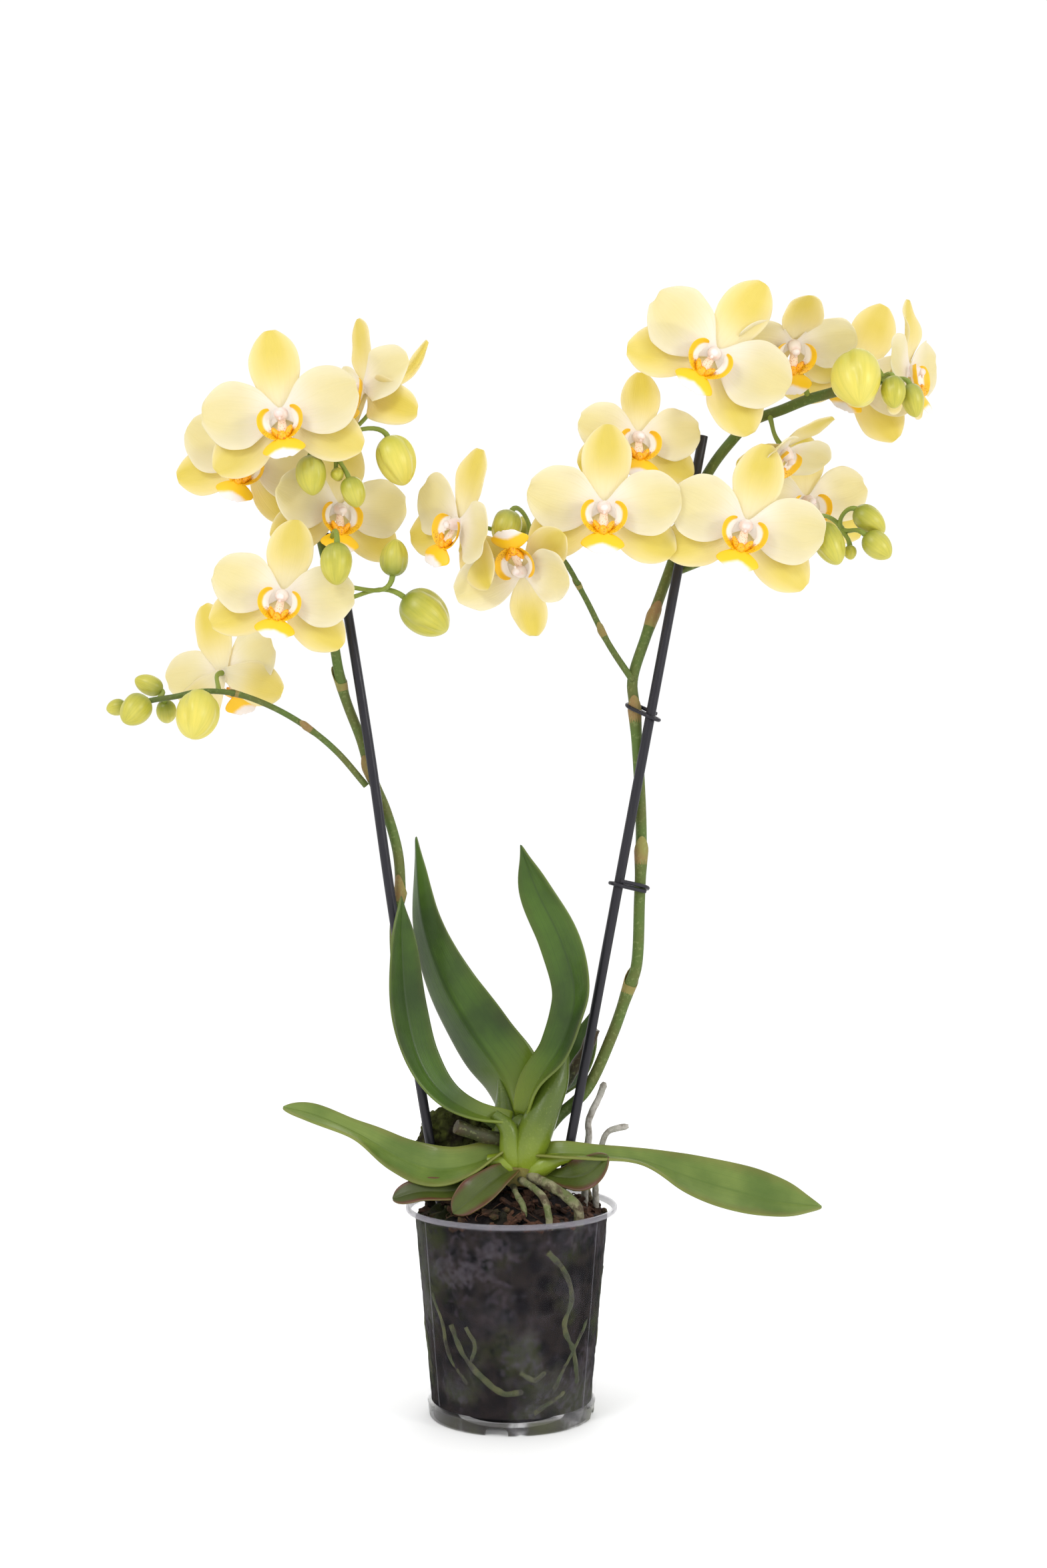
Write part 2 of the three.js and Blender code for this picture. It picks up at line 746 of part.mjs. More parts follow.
// The lip hangs from the column and its middle lobe points forward and down.
function lip(share) {
  const outline = new THREE.Shape();
  const corners = [[0, 2], [7, -2], [8.5, -9], [3.5, -11], [0, -20], [-3.5, -11], [-8.5, -9], [-7, -2]];
  corners.forEach(([x, y], i) => (i ? outline.lineTo(x, y) : outline.moveTo(x, y)));
  const blade = new THREE.ExtrudeGeometry(outline, { depth: 3.2, bevelEnabled: false });
  blade.scale(share, share, 1);
  blade.rotateX(radians(55));
  blade.translate(0, -1, -1.5);
  return solid(blade);
}

function flowerBody(share) {
  const reach = (FLOWER_SPAN / 2) * share;
  return join([
    tepal(reach * 1.08, reach * 0.66, 3, 0.5, 0, TEPAL_THICKNESS - 0.2),
    tepal(reach * 1.06, reach * 0.62, 3, 0.5, 121, TEPAL_THICKNESS - 0.2),
    tepal(reach * 1.06, reach * 0.62, 3, 0.5, -121, TEPAL_THICKNESS - 0.2),
    tepal(reach, reach * 1.0, 3, 0.6, 74, 0),
    tepal(reach, reach * 1.0, 3, 0.6, -74, 0),
    column(),
    lip(share),
  ]);
}

function flowerMesh(name, flower) {
  const mesh = meshOf(name, flowerBody(flower.share), PETAL());
  mesh.position.copy(at(flower.middle));
  mesh.rotation.copy(facing(flower));
  return mesh;
}

// ---------------------------------------------------------------- buds

// Each bud: its middle, the way its tip points, its length and width, and its stem. The small
// ones are part of their stem.
const BUDS = {
  bud_left_top: { middle: [-110, -34, 408], tip: [0.1, -0.2, -1], size: [23, 17], stem: "spike_left" },
  bud_left_inner: { middle: [-64, -22, 418], tip: [0.33, 0, -0.94], size: [29, 22], stem: "spike_left" },
  bud_left_centre: { middle: [-95, -47, 358], tip: [0, -0.2, -0.95], size: [24, 18], stem: "spike_left" },
  bud_left_upright: { middle: [-65, -22, 364], tip: [0.1, 0, 1], size: [21, 16], stem: "spike_left" },
  bud_left_low: { middle: [-48, -18, 333], tip: [0.78, 0, -0.62], size: [31, 25], stem: "spike_left" },
  bud_left_opening: {
    middle: [-174, -28, 276],
    tip: [-0.1, -0.5, -0.85],
    size: [30, 24],
    stem: "branch_left",
  },
  bud_middle: { middle: [-3, -27, 380], tip: [-0.3, -0.2, -0.9], size: [21, 17], stem: "branch_middle" },
  bud_right_opening: { middle: [189, -44, 459], tip: [0, -0.5, -0.85], size: [35, 28], stem: "spike_right" },
  bud_right_low: { middle: [176, -28, 371], tip: [0.4, -0.2, -0.9], size: [26, 17], stem: "branch_right" },
};

const SMALL_BUDS = [
  { middle: [-87, -32, 399], tip: [0.3, -0.2, -0.9], size: [17, 13], stem: "spike_left" },
  { middle: [-96, -30, 409], tip: [0.2, -0.6, -0.6], size: [8, 7], stem: "spike_left" },
  { middle: [-205, -4, 294], tip: [-0.9, 0, 0.4], size: [16, 11], stem: "branch_left" },
  { middle: [-209, -24, 279], tip: [-0.5, -0.5, -0.7], size: [19, 16], stem: "branch_left" },
  { middle: [-222, -10, 281], tip: [-1, 0, -0.2], size: [11, 9], stem: "branch_left" },
  { middle: [-196, 2, 279], tip: [0, 0.6, -0.8], size: [14, 11], stem: "branch_left" },
  { middle: [209, -44, 452], tip: [0, -0.3, -0.95], size: [18, 13], stem: "spike_right" },
  { middle: [221, -36, 449], tip: [0.2, 0, -1], size: [18, 12], stem: "spike_right" },
  { middle: [200, -19, 385], tip: [0.7, 0, -0.6], size: [20, 14], stem: "branch_right" },
  { middle: [203, -27, 370], tip: [0.7, -0.2, -0.7], size: [18, 14], stem: "branch_right" },
  { middle: [189, -20, 367], tip: [0, -0.4, -0.9], size: [8, 7], stem: "branch_right" },
  { middle: [6, -2, 384], tip: [0.2, 0.4, 0.9], size: [12, 9], stem: "branch_middle" },
];

// An egg whose narrow end is its tip, with its base at the origin.
function budBody([length, width]) {
  const outline = [[0, 0], [0.75, 0.15], [1, 0.42], [0.75, 0.78], [0, 1]];
  const profile = outline.map(([x, y]) => new THREE.Vector2((x * width) / 2, y * length));
  return new THREE.LatheGeometry(profile, 7).rotateX(Math.PI / 2);
}

const baseOf = ({ middle, tip, size }) =>
  at(middle).addScaledVector(new THREE.Vector3(...tip).normalize(), -size[0] / 2);

function budTurn({ tip }) {
  return new THREE.Quaternion().setFromUnitVectors(UP, new THREE.Vector3(...tip).normalize());
}

function placedBud(bud) {
  const base = baseOf(bud);
  return solid(budBody(bud.size).applyQuaternion(budTurn(bud)).translate(base.x, base.y, base.z));
}

function budMesh(name, bud) {
  const mesh = meshOf(name, solid(budBody(bud.size)), BUD());
  mesh.position.copy(baseOf(bud));
  mesh.quaternion.copy(budTurn(bud));
  return mesh;
}

// ---------------------------------------------------------------- stems with their pedicels

// A flower stalk leaves the stem at its nearest point and meets its flower or bud end on.
function pedicel({ stem, from, leave }, end, away) {
  const start = curves[stem].getPointAt(from ?? nearestShare(curves[stem], end));
  const reach = end.clone().sub(start);
  const bend = reach.length() * 0.4;
  const onward = reach.dot(away) > 0 ? away : reach.normalize();
  const first = leave ? new THREE.Vector3(...leave).normalize() : onward;
  const path = new THREE.CubicBezierCurve3(
    start,
    start.clone().addScaledVector(first, bend),
    end.clone().addScaledVector(away, bend),
    end,
  );
  return tube(path, PEDICEL_DIAMETER, 4, 11);
}

function pedicelsOf(stem) {
  const made = [];
  for (const flower of Object.values(FLOWERS)) {
    if (flower.stem !== stem) continue;
    const away = new THREE.Vector3(0, 1, 0).applyEuler(facing(flower));
    made.push(pedicel(flower, at(flower.middle).addScaledVector(away, COLUMN_BACK + GAP), away));
  }
  for (const bud of [...Object.values(BUDS), ...SMALL_BUDS]) {
    if (bud.stem !== stem) continue;
    const away = new THREE.Vector3(...bud.tip).normalize().negate();
    const gap = SMALL_BUDS.includes(bud) ? -1 : GAP;
    made.push(pedicel(bud, baseOf(bud).addScaledVector(away, gap), away));
  }
  return made;
}

// Dry sheaths wrap the stem at its joints.
function sheaths(curve, shares, diameter) {
  return shares.map((share) => tube(stretch(curve, share, share + 0.02, 2), diameter + 1.8, 6, 6));
}

const smallBudsOf = (stem) => SMALL_BUDS.filter((bud) => bud.stem === stem).map(placedBud);

function spikeBody(name) {
  const curve = curves[name];
  const body = join([
    tube(stretch(curve, 0, 0.5, 24), SPIKE_LOW_DIAMETER, 6, 15),
    tube(stretch(curve, 0.49, 1, 24), SPIKE_HIGH_DIAMETER, 6, 13),
    ...sheaths(curve, [0.2, 0.34, 0.49, 0.6], SPIKE_LOW_DIAMETER),
    ...pedicelsOf(name),
    ...smallBudsOf(name),
  ]);
  return biggest(body.subtract(crownBody(GAP)));
}

// A branch starts GAP clear of the spike that it grows from.
function branchBody(name, parent) {
  const body = join([
    tube(curves[name], BRANCH_DIAMETER, 5, 11),
    ...sheaths(curves[name], [0.3, 0.6], BRANCH_DIAMETER),
    ...pedicelsOf(name),
    ...smallBudsOf(name),
  ]);
  const room = join([
    tube(stretch(curves[parent], 0, 0.5, 24), SPIKE_LOW_DIAMETER + 2.4 * GAP, 6, 15),
    tube(stretch(curves[parent], 0.49, 1, 24), SPIKE_HIGH_DIAMETER + 2.4 * GAP, 6, 13),
  ]);
  return biggest(body.subtract(room));
}

// ---------------------------------------------------------------- assembly

const group = new THREE.Group();
group.name = "potted_orchid";

group.add(meshOf("pot", potBody(), CLEAR_PLASTIC()));

const fatCrown = crownBody(GAP);
const rootPath = ({ points }) =>
  new THREE.CatmullRomCurve3(points.map(inPot), false, "centripetal");
const wallPath = ({ way, diameter }) =>
  new THREE.CatmullRomCurve3(way.map(([angle, share]) => onWall(angle, share, diameter / 2 + GAP)));

// Everything that stands in the bark, and the room that the bark leaves for it.
const room = [mossBody(GAP), fatCrown];
for (const name of Object.keys(STAKES)) {
  group.add(meshOf(name, tube(curves[name], STAKE_DIAMETER, 8, 40), BLACK_PLASTIC()));
  room.push(tube(curves[name], STAKE_DIAMETER + 2.2 * GAP, 8, 40));
}
for (const [name, root] of Object.entries(ROOTS)) {
  const body = tube(rootPath(root), root.diameter, 6, 9).subtract(fatCrown);
  group.add(meshOf(name, biggest(body), ROOT()));
  room.push(tube(rootPath(root), root.diameter + 2.4 * GAP, 6, 9));
}
for (const [name, root] of Object.entries(WALL_ROOTS)) {
  group.add(meshOf(name, tube(wallPath(root), root.diameter, 6, 9), ROOT()));
  room.push(tube(wallPath(root), root.diameter + 2.4 * GAP, 6, 9));
}
group.add(meshOf("potting_mix", biggest(turned(mixProfile(), 20).subtract(join(room))), BARK()));
group.add(meshOf("moss_block", mossBody(), MOSS()));
group.add(meshOf("crown", crownBody(), YOUNG_LEAF()));

for (const [name, stations] of Object.entries(LEAVES))
  group.add(meshOf(name, biggest(leafBody(stations).subtract(fatCrown)), LEAF()));
for (const [name, spike] of Object.entries(OLD_SPIKES)) {
  const body = tube(rootPath(spike), spike.diameter, 7, 9).subtract(fatCrown);
  group.add(meshOf(name, biggest(body), DRY()));
}

for (const name of Object.keys(SPIKE_ROUTES)) group.add(meshOf(name, spikeBody(name), STEM()));
group.add(meshOf("branch_left", branchBody("branch_left", "spike_left"), STEM()));
group.add(meshOf("branch_middle", branchBody("branch_middle", "spike_right"), STEM()));
group.add(meshOf("branch_right", branchBody("branch_right", "spike_right"), STEM()));
for (const [name, clip] of Object.entries(CLIPS)) group.add(meshOf(name, clipBody(clip), BLACK_PLASTIC()));

for (const [name, flower] of Object.entries(FLOWERS)) group.add(flowerMesh(name, flower));
for (const [name, bud] of Object.entries(BUDS)) group.add(budMesh(name, bud));

export default group;
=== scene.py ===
import math
import random

import bmesh
import bpy
from mathutils import Matrix, Quaternion, Vector, noise


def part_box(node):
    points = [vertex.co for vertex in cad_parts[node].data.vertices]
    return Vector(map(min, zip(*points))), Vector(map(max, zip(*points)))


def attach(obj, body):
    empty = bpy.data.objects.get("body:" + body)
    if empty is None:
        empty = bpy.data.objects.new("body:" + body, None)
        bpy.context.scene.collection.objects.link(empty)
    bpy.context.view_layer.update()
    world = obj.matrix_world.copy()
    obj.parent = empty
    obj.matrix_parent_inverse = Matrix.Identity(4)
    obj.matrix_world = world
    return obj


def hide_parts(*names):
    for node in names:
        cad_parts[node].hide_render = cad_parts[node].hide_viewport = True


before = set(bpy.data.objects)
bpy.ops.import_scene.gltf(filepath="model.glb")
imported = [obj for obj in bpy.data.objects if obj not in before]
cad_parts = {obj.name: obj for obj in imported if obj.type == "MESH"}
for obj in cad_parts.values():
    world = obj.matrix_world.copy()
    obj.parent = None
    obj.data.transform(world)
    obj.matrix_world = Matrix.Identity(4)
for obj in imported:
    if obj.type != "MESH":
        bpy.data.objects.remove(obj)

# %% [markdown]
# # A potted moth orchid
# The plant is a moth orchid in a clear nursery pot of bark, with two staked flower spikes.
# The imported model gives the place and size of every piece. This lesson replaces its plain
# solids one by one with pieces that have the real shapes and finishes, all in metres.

SEED = 7
RIM = 0.118  # height of the pot's rim
random.seed(SEED)
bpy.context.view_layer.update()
bpy.ops.object.select_all(action="DESELECT")


# %% [markdown]
# ## Small helpers
# Plant sizes are easier to think of in millimetres, with heights counted from the pot's rim,
# so one helper turns such a point into the frame's metres. Every finished piece is handed
# over in the same way: its place is put into its mesh, it rides on the one body of the model,
# it stands for its plain solid, and it takes a named finish. A thin sheet is thickened and
# smoothed in one way too, so that its modifiers are named once.

# %% Points and finished pieces
def mm(*point):
    """A point in millimetres, with its height above the rim, in the frame's metres."""
    x, y, z = point
    return Vector((x / 1000, y / 1000, z / 1000 + RIM))


def finish_piece(piece, material, replaces=()):
    piece.data.transform(piece.matrix_world)
    piece.matrix_world = Matrix.Identity(4)
    piece.data.materials.clear()
    piece.data.materials.append(material)
    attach(piece, "root")
    for node in replaces:
        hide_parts(node)
    return piece


print("the rim is", RIM, "m above the table")

# %% [markdown]
# Operators act on what is selected, so a piece is selected alone before it is shaped. These
# few helpers do that for a primitive, a modifier, smooth shading, a join and a copy.


# %% Selecting, modifying and joining
def only(piece):
    """Select one piece, and nothing else."""
    bpy.ops.object.select_all(action="DESELECT")
    piece.select_set(True)
    bpy.context.view_layer.objects.active = piece


def new_piece(name):
    """The piece that was just made, under its own name."""
    piece = bpy.context.active_object
    piece.name = piece.data.name = name
    return piece


def primitive(kind, name, **settings):
    """A primitive that is the only thing selected, so that edit mode shapes it alone."""
    bpy.ops.object.select_all(action="DESELECT")
    getattr(bpy.ops.mesh, f"primitive_{kind}_add")(**settings)
    return new_piece(name)


def mode(name):
    bpy.ops.object.mode_set(mode=name)


def modify(piece, kind, **settings):
    """Add a modifier and apply it."""
    only(piece)
    modifier = piece.modifiers.new(kind.lower(), kind)
    for key, value in settings.items():
        setattr(modifier, key, value)
    bpy.ops.object.modifier_apply(modifier=modifier.name)


def smooth(piece, angle=60):
    only(piece)
    bpy.ops.object.shade_smooth_by_angle(angle=math.radians(angle))


def rounded(piece, thickness=0):
    """Thicken a sheet, and give any piece a smooth skin."""
    if thickness:
        modify(piece, "SOLIDIFY", thickness=thickness, offset=0)
    modify(piece, "SUBSURF", levels=1, render_levels=1)
    smooth(piece, 80)
    return piece


def joined(name, pieces):
    """Several pieces as one."""
    bpy.ops.object.select_all(action="DESELECT")
    for piece in pieces:
        piece.select_set(True)
    bpy.context.view_layer.objects.active = pieces[0]
    if len(pieces) > 1:
        bpy.ops.object.join()
    return new_piece(name)


def copy_of(piece, name):
    """A copy with a mesh of its own."""
    made = piece.copy()
    made.data = piece.data.copy()
    made.name = made.data.name = name
    bpy.context.collection.objects.link(made)
    return made


print("helpers are ready")

# %% [markdown]
# ## Camera
# The camera stands level with the middle of the plant, about 1.2 m in front of it, with a
# normal lens, so the flowers and the pot keep their true proportions.

# %% Camera
camera = bpy.data.objects.new("camera", bpy.data.cameras.new("camera"))
bpy.context.collection.objects.link(camera)
camera.location = (0.0068, -1.207, 0.356)
camera.rotation_euler = (math.radians(90), 0, 0)
camera.data.lens = 48.87
camera.data.sensor_width = 36
camera.data.clip_end = 20
bpy.context.scene.camera = camera
print("camera at", tuple(round(c, 3) for c in camera.location))

# %% [markdown]
# ## Shader maths as expressions
# A shader is a chain of small nodes. Wrapping a socket in a class with the usual operators
# lets the maths be read as maths: each operator adds the node that does it. Colours go
# through Mix nodes, because a Math node would turn them grey.


# %% A socket that can be used in expressions
class Value:
    """A node socket, or a number, that is used in expressions."""

    def __init__(self, tree, socket):
        self.tree = tree
        self.socket = socket

    def _math(self, operation, *others):
        inputs = dict(enumerate([self, *others]))
        return self.tree.add("ShaderNodeMath", {"operation": operation}, inputs)

    def __add__(self, other):
        return self._math("ADD", other)

    __radd__ = __add__

    def __sub__(self, other):
        return self._math("SUBTRACT", other)

    def __rsub__(self, other):
        return self.tree.add("ShaderNodeMath", {"operation": "SUBTRACT"}, {0: other, 1: self})

    def __mul__(self, other):
        return self._math("MULTIPLY", other)

    __rmul__ = __mul__

    def above(self, edge, soft):
        """0 below an edge and 1 above it, softly."""
        return self.tree.add(
            "ShaderNodeMapRange",
            {"interpolation_type": "SMOOTHSTEP"},
            {0: self, 1: edge - soft, 2: edge + soft, 3: 0.0, 4: 1.0},
        )

    def distance(self, other):
        return (self - other)._math("ABSOLUTE")


class Finish:
    """A material under construction: adds nodes, and ends in one Principled surface."""

    def __init__(self, name, roughness=0.5, **constants):
        self.material = bpy.data.materials.new(name)
        self.material.use_nodes = True
        self.nodes = self.material.node_tree.nodes
        self.links = self.material.node_tree.links
        self.surface = self.nodes["Principled BSDF"]
        self.surface.inputs["Roughness"].default_value = roughness
        for key, value in constants.items():
            self.surface.inputs[key.replace("_", " ")].default_value = value
        coordinates = self.nodes.new("ShaderNodeTexCoord")
        self.place = Value(self, coordinates.outputs["Object"])
        self.uv = Value(self, coordinates.outputs["UV"])

    def put(self, socket, value):
        if isinstance(value, Value):
            self.links.new(value.socket, socket)
        else:
            socket.default_value = value

    def add(self, kind, settings, inputs, output=0):
        node = self.nodes.new(kind)
        for key, value in settings.items():
            setattr(node, key, value)
        for key, value in inputs.items():
            self.put(node.inputs[key], value)
        return Value(self, node.outputs[output])

    def across(self, vector, axis):
        """One coordinate of a vector."""
        return self.add("ShaderNodeSeparateXYZ", {}, {0: vector}, axis)

    def sheet(self):
        """u and v of the piece's own map, and how far from the middle of u a point is."""
        u, v = self.across(self.uv, 0), self.across(self.uv, 1)
        return u, v, u.distance(0.5) * 2

    def stretched(self, vector, *times):
        return self.add("ShaderNodeVectorMath", {"operation": "MULTIPLY"}, {0: vector, 1: times})

    def noise(self, scale, detail=3.0, vector=None, roughness=0.5):
        inputs = {"Vector": vector or self.place, "Scale": scale}
        inputs.update(Detail=detail, Roughness=roughness)
        return self.add("ShaderNodeTexNoise", {}, inputs)

    def cells(self, scale):
        return self.add("ShaderNodeTexVoronoi", {}, {"Vector": self.place, "Scale": scale})

    def mix(self, share, first, second):
        """first where share is 0, and second where it is 1, for colours."""
        node = self.nodes.new("ShaderNodeMix")
        node.data_type = "RGBA"
        for socket, value in ((0, share), (6, first), (7, second)):
            self.put(node.inputs[socket], value)
        return Value(self, node.outputs[2])

    def bump(self, height, strength=0.3, distance=0.001):
        inputs = {"Strength": strength, "Distance": distance, "Height": height}
        self.put(self.surface.inputs["Normal"], self.add("ShaderNodeBump", {}, inputs))

    def done(self, colour, roughness=None, alpha=None, glow=0, through=None):
        """End in a surface. A glow above 0 lets that share of light through from behind."""
        for socket, value in (("Base Color", colour), ("Roughness", roughness), ("Alpha", alpha)):
            if value is not None:
                self.put(self.surface.inputs[socket], value)
        if glow:
            behind = self.nodes.new("ShaderNodeBsdfTranslucent")
            behind.inputs["Color"].default_value = through
            both = self.nodes.new("ShaderNodeMixShader")
            both.inputs[0].default_value = glow
            self.links.new(self.surface.outputs[0], both.inputs[1])
            self.links.new(behind.outputs[0], both.inputs[2])
            self.links.new(both.outputs[0], self.nodes["Material Output"].inputs["Surface"])
        print("finish:", self.material.name, "with", len(self.nodes), "nodes")
        return self.material


def tone(*srgb):
    """A colour as it is seen, 0 to 255, as the linear colour that a shader needs."""
    shares = [c / 255 for c in srgb]
    linear = [s / 12.92 if s < 0.0405 else ((s + 0.055) / 1.055) ** 2.4 for s in shares]
    return (*linear, 1.0)


print("shader maths is ready")


# %% [markdown]
# ## Petals, lip and buds: the finishes
# A moth orchid's petal is a thin, creamy sheet. It is nearly white at the foot, where it joins
# the others, butter yellow over its middle, and paler again at its very edge, where it is
# thinnest. Fine veins fan out from the foot. The pattern follows the petal, so it reads the
# sheet's own UV map, with u across and v from foot to tip. Part of the shader is Translucent,
# because a petal is bright when light comes through it from behind. Sepals are the same
# sheet, but flushed with green-yellow along the middle and at the tip.


# %% Petal and sepal finishes
def petal_finish(name, foot, blade, flush, greenness, through):
    f = Finish(name, roughness=0.55, Sheen_Weight=0.15, Sheen_Roughness=0.4)
    u, v, side = f.sheet()
    veins = f.noise(1.0, 4.0, f.stretched(f.uv, 34, 1.6, 1))
    cloud = f.noise(38.0, 3.0)
    colour = f.mix(v.above(0.3, 0.26), foot, blade)
    spot = v.above(0.5, 0.26) * (1 - side.above(0.62, 0.4)) * greenness
    colour = f.mix(spot * (cloud * 0.8 + 0.55), colour, flush)
    edge = side.above(0.9, 0.12)
    colour = f.mix(edge * 0.5, colour, tone(244, 238, 214))
    colour = f.mix(veins.above(0.6, 0.16) * 0.14, colour, flush)
    f.bump(veins + cloud * 0.6, 0.34, 0.0008)
    return f.done(colour, roughness=veins * 0.2 + 0.46, glow=0.36, through=through)


PETAL = petal_finish(
    "petal", foot=tone(255, 250, 248), blade=tone(238, 231, 200), flush=tone(226, 212, 130),
    greenness=0.55, through=tone(240, 230, 184))
SEPAL = petal_finish(
    "sepal", foot=tone(248, 242, 216), blade=tone(242, 230, 168), flush=tone(224, 207, 84),
    greenness=0.85, through=tone(240, 224, 140))


# %% [markdown]
# The lip's colours are the strongest on the flower. Its side lobes turn from white to egg
# yellow at the rim, the front lobe from yellow to white at its tip, and the callus and throat
# between them are dotted with red-brown.


# %% Lip finishes
def side_lobe_finish():
    """White inside, egg yellow towards the rim, with red-brown dots in the throat."""
    f = Finish("lip_side", roughness=0.45)
    u, v, _ = f.sheet()
    shade = f.noise(120.0, 2.0)
    gold = f.mix(shade, tone(250, 206, 26), tone(246, 186, 8))
    gold_share = (u + shade * 0.2).above(0.66, 0.14) + (1 - v.above(0.34, 0.12))
    colour = f.mix(gold_share.above(0.5, 0.5), tone(246, 240, 230), gold)
    dots = 1 - f.cells(1150.0).above(0.32, 0.1)
    throat = 1 - v.above(0.42, 0.1)
    colour = f.mix(dots * throat * 0.8, colour, tone(176, 84, 14))
    f.bump(shade, 0.25, 0.0004)
    return f.done(colour, glow=0.1, through=tone(250, 226, 130))


LOBE = side_lobe_finish()


def midlobe_finish():
    """A yellow band at the foot and the corners, and a white tip."""
    f = Finish("lip_front", roughness=0.45)
    u, v, side = f.sheet()
    shade = f.noise(150.0, 3.0)
    reach = v - side * 0.22 + shade * 0.2
    colour = f.mix(reach.above(0.66, 0.1), tone(250, 200, 12), tone(242, 234, 232))
    f.bump(shade, 0.3, 0.0005)
    return f.done(colour, glow=0.1, through=tone(248, 222, 130))


MIDLOBE = midlobe_finish()


def speckled(name, base, dot, scale, amount):
    f = Finish(name, roughness=0.4)
    dots = 1 - f.cells(scale).above(0.3, 0.1)
    cloud = f.noise(300.0, 2.0)
    f.bump(cloud, 0.3, 0.0004)
    return f.done(f.mix(dots * amount, base, dot))


CALLUS = speckled("callus", tone(248, 174, 6), tone(190, 88, 8), 900.0, 0.85)
THROAT = speckled("throat", tone(240, 216, 190), tone(206, 136, 72), 1100.0, 0.7)


def column_finish():
    f = Finish("column", roughness=0.4)
    blush = f.noise(220.0, 2.0)
    f.bump(blush, 0.2, 0.0004)
    colour = f.mix(blush.above(0.52, 0.16) * 0.6, tone(250, 242, 236), tone(238, 204, 192))
    return f.done(colour, glow=0.2, through=tone(246, 228, 222))


COLUMN = column_finish()

# %% [markdown]
# A bud is waxy and tightly shut, yellow where it is fat and greener at its foot and along the
# seams. Colour follows u round the bud and v from stalk to tip.


# %% Bud finish
def bud_finish(name, belly, foot):
    f = Finish(name, roughness=0.38, Coat_Weight=0.15, Coat_Roughness=0.4)
    v = f.across(f.uv, 1)
    streak = f.noise(1.0, 4.0, f.stretched(f.uv, 40, 2, 1))
    cloud = f.noise(90.0, 3.0)
    colour = f.mix(v.above(0.34, 0.34), foot, belly)
    colour = f.mix(streak.above(0.55, 0.2) * 0.35, colour, foot)
    colour = f.mix(cloud.above(0.55, 0.15) * 0.25, colour, tone(214, 208, 112))
    f.bump(streak + cloud * 0.5, 0.3, 0.0005)
    return f.done(colour, glow=0.1, through=belly)


BUD = bud_finish("bud", tone(200, 191, 66), tone(118, 132, 34))
OPENING_BUD = bud_finish("opening_bud", tone(226, 211, 92), tone(178, 178, 56))

# %% [markdown]
# ## Leaves and stems: the finishes
# An orchid leaf is thick and waxy: a satin coat over deep green, with painted shade in the
# groove along the midrib, faint lengthwise veins, a paler line at the edge and a yellow-green
# foot. The small lower leaves are flushed red-brown by strong light.


# %% Leaf finishes
def leaf_finish(name, green, deep, foot, flush, flushed):
    f = Finish(name, Coat_Weight=0.1, Coat_Roughness=0.14, Specular_IOR_Level=0.3)
    u, v, side = f.sheet()
    veins = f.noise(1.0, 3.0, f.stretched(f.uv, 46, 1.2, 1))
    cloud = f.noise(26.0, 4.0)
    pores = f.noise(900.0, 2.0)
    colour = f.mix(cloud.above(0.5, 0.22), green, deep)
    colour = f.mix(veins.above(0.56, 0.12) * 0.3, colour, deep)
    # Painted shade: the middle of the blade, along the midrib's groove, is darkened to deep green.
    colour = f.mix((1 - side.above(0.05, 0.06)) * 0.55, colour, deep)
    colour = f.mix((1 - v.above(0.14, 0.14)), colour, foot)
    patch = (side + f.noise(60.0, 3.0) * 0.6).above(1.12, 0.25) * flushed
    colour = f.mix(patch, colour, flush)
    colour = f.mix(side.above(0.97, 0.03) * 0.3, colour, tone(130, 144, 70))
    f.bump(veins * 0.8 + pores * 0.3 + cloud * 0.5, 0.22, 0.0008)
    return f.done(colour, roughness=cloud * 0.2 + pores * 0.1 + 0.2, glow=0.05, through=green)


LEAF = leaf_finish(
    "leaf", green=tone(70, 100, 26), deep=tone(42, 64, 18), foot=tone(108, 126, 34),
    flush=tone(96, 60, 36), flushed=0.1)
PALE_LEAF = leaf_finish(
    "pale_leaf", green=tone(122, 140, 66), deep=tone(80, 104, 38), foot=tone(100, 116, 36),
    flush=tone(132, 92, 52), flushed=0.25)
SMALL_LEAF = leaf_finish(
    "small_leaf", green=tone(84, 98, 36), deep=tone(62, 72, 28), foot=tone(96, 104, 40),
    flush=tone(92, 44, 38), flushed=0.95)


def stem_finish(name, green, brown, brownness):
    f = Finish(name, roughness=0.55, Specular_IOR_Level=0.3)
    cloud = f.noise(55.0, 4.0)
    flecks = f.noise(520.0, 3.0)
    colour = f.mix(cloud.above(0.52, 0.2) * brownness, green, brown)
    colour = f.mix(flecks.above(0.62, 0.08) * 0.25, colour, tone(150, 158, 104))
    f.bump(flecks + cloud, 0.35, 0.0006)
    return f.done(colour, roughness=flecks * 0.25 + 0.42)


STEM = stem_finish("stem", tone(80, 102, 42), tone(98, 92, 46), 0.6)
PEDICEL = stem_finish("pedicel", tone(132, 146, 60), tone(106, 124, 48), 0.5)
BRACT = stem_finish("bract", tone(132, 128, 66), tone(136, 104, 66), 0.9)
DRY = stem_finish("dry_stalk", tone(54, 60, 34), tone(70, 56, 40), 1.0)

# %% [markdown]
# ## Roots, bark and moss: the finishes
# Aerial roots wear a papery coat, silver-grey when dry and mossy green where damp. The bark
# behind the wall is nearly black with damp, spotted with moss and with pale lime where water
# has dried.


# %% Root, bark and moss finishes
def root_finish(name, pale, green, brown):
    f = Finish(name, roughness=0.8)
    cloud = f.noise(95.0, 4.0)
    fine = f.noise(600.0, 4.0)
    colour = f.mix(cloud.above(0.5, 0.12), pale, green)
    colour = f.mix(f.noise(160.0, 4.0).above(0.55, 0.1), colour, brown)
    colour = f.mix(fine.above(0.6, 0.1) * 0.5, colour, pale)
    f.bump(fine + cloud * 1.5, 0.7, 0.0012)
    return f.done(colour)


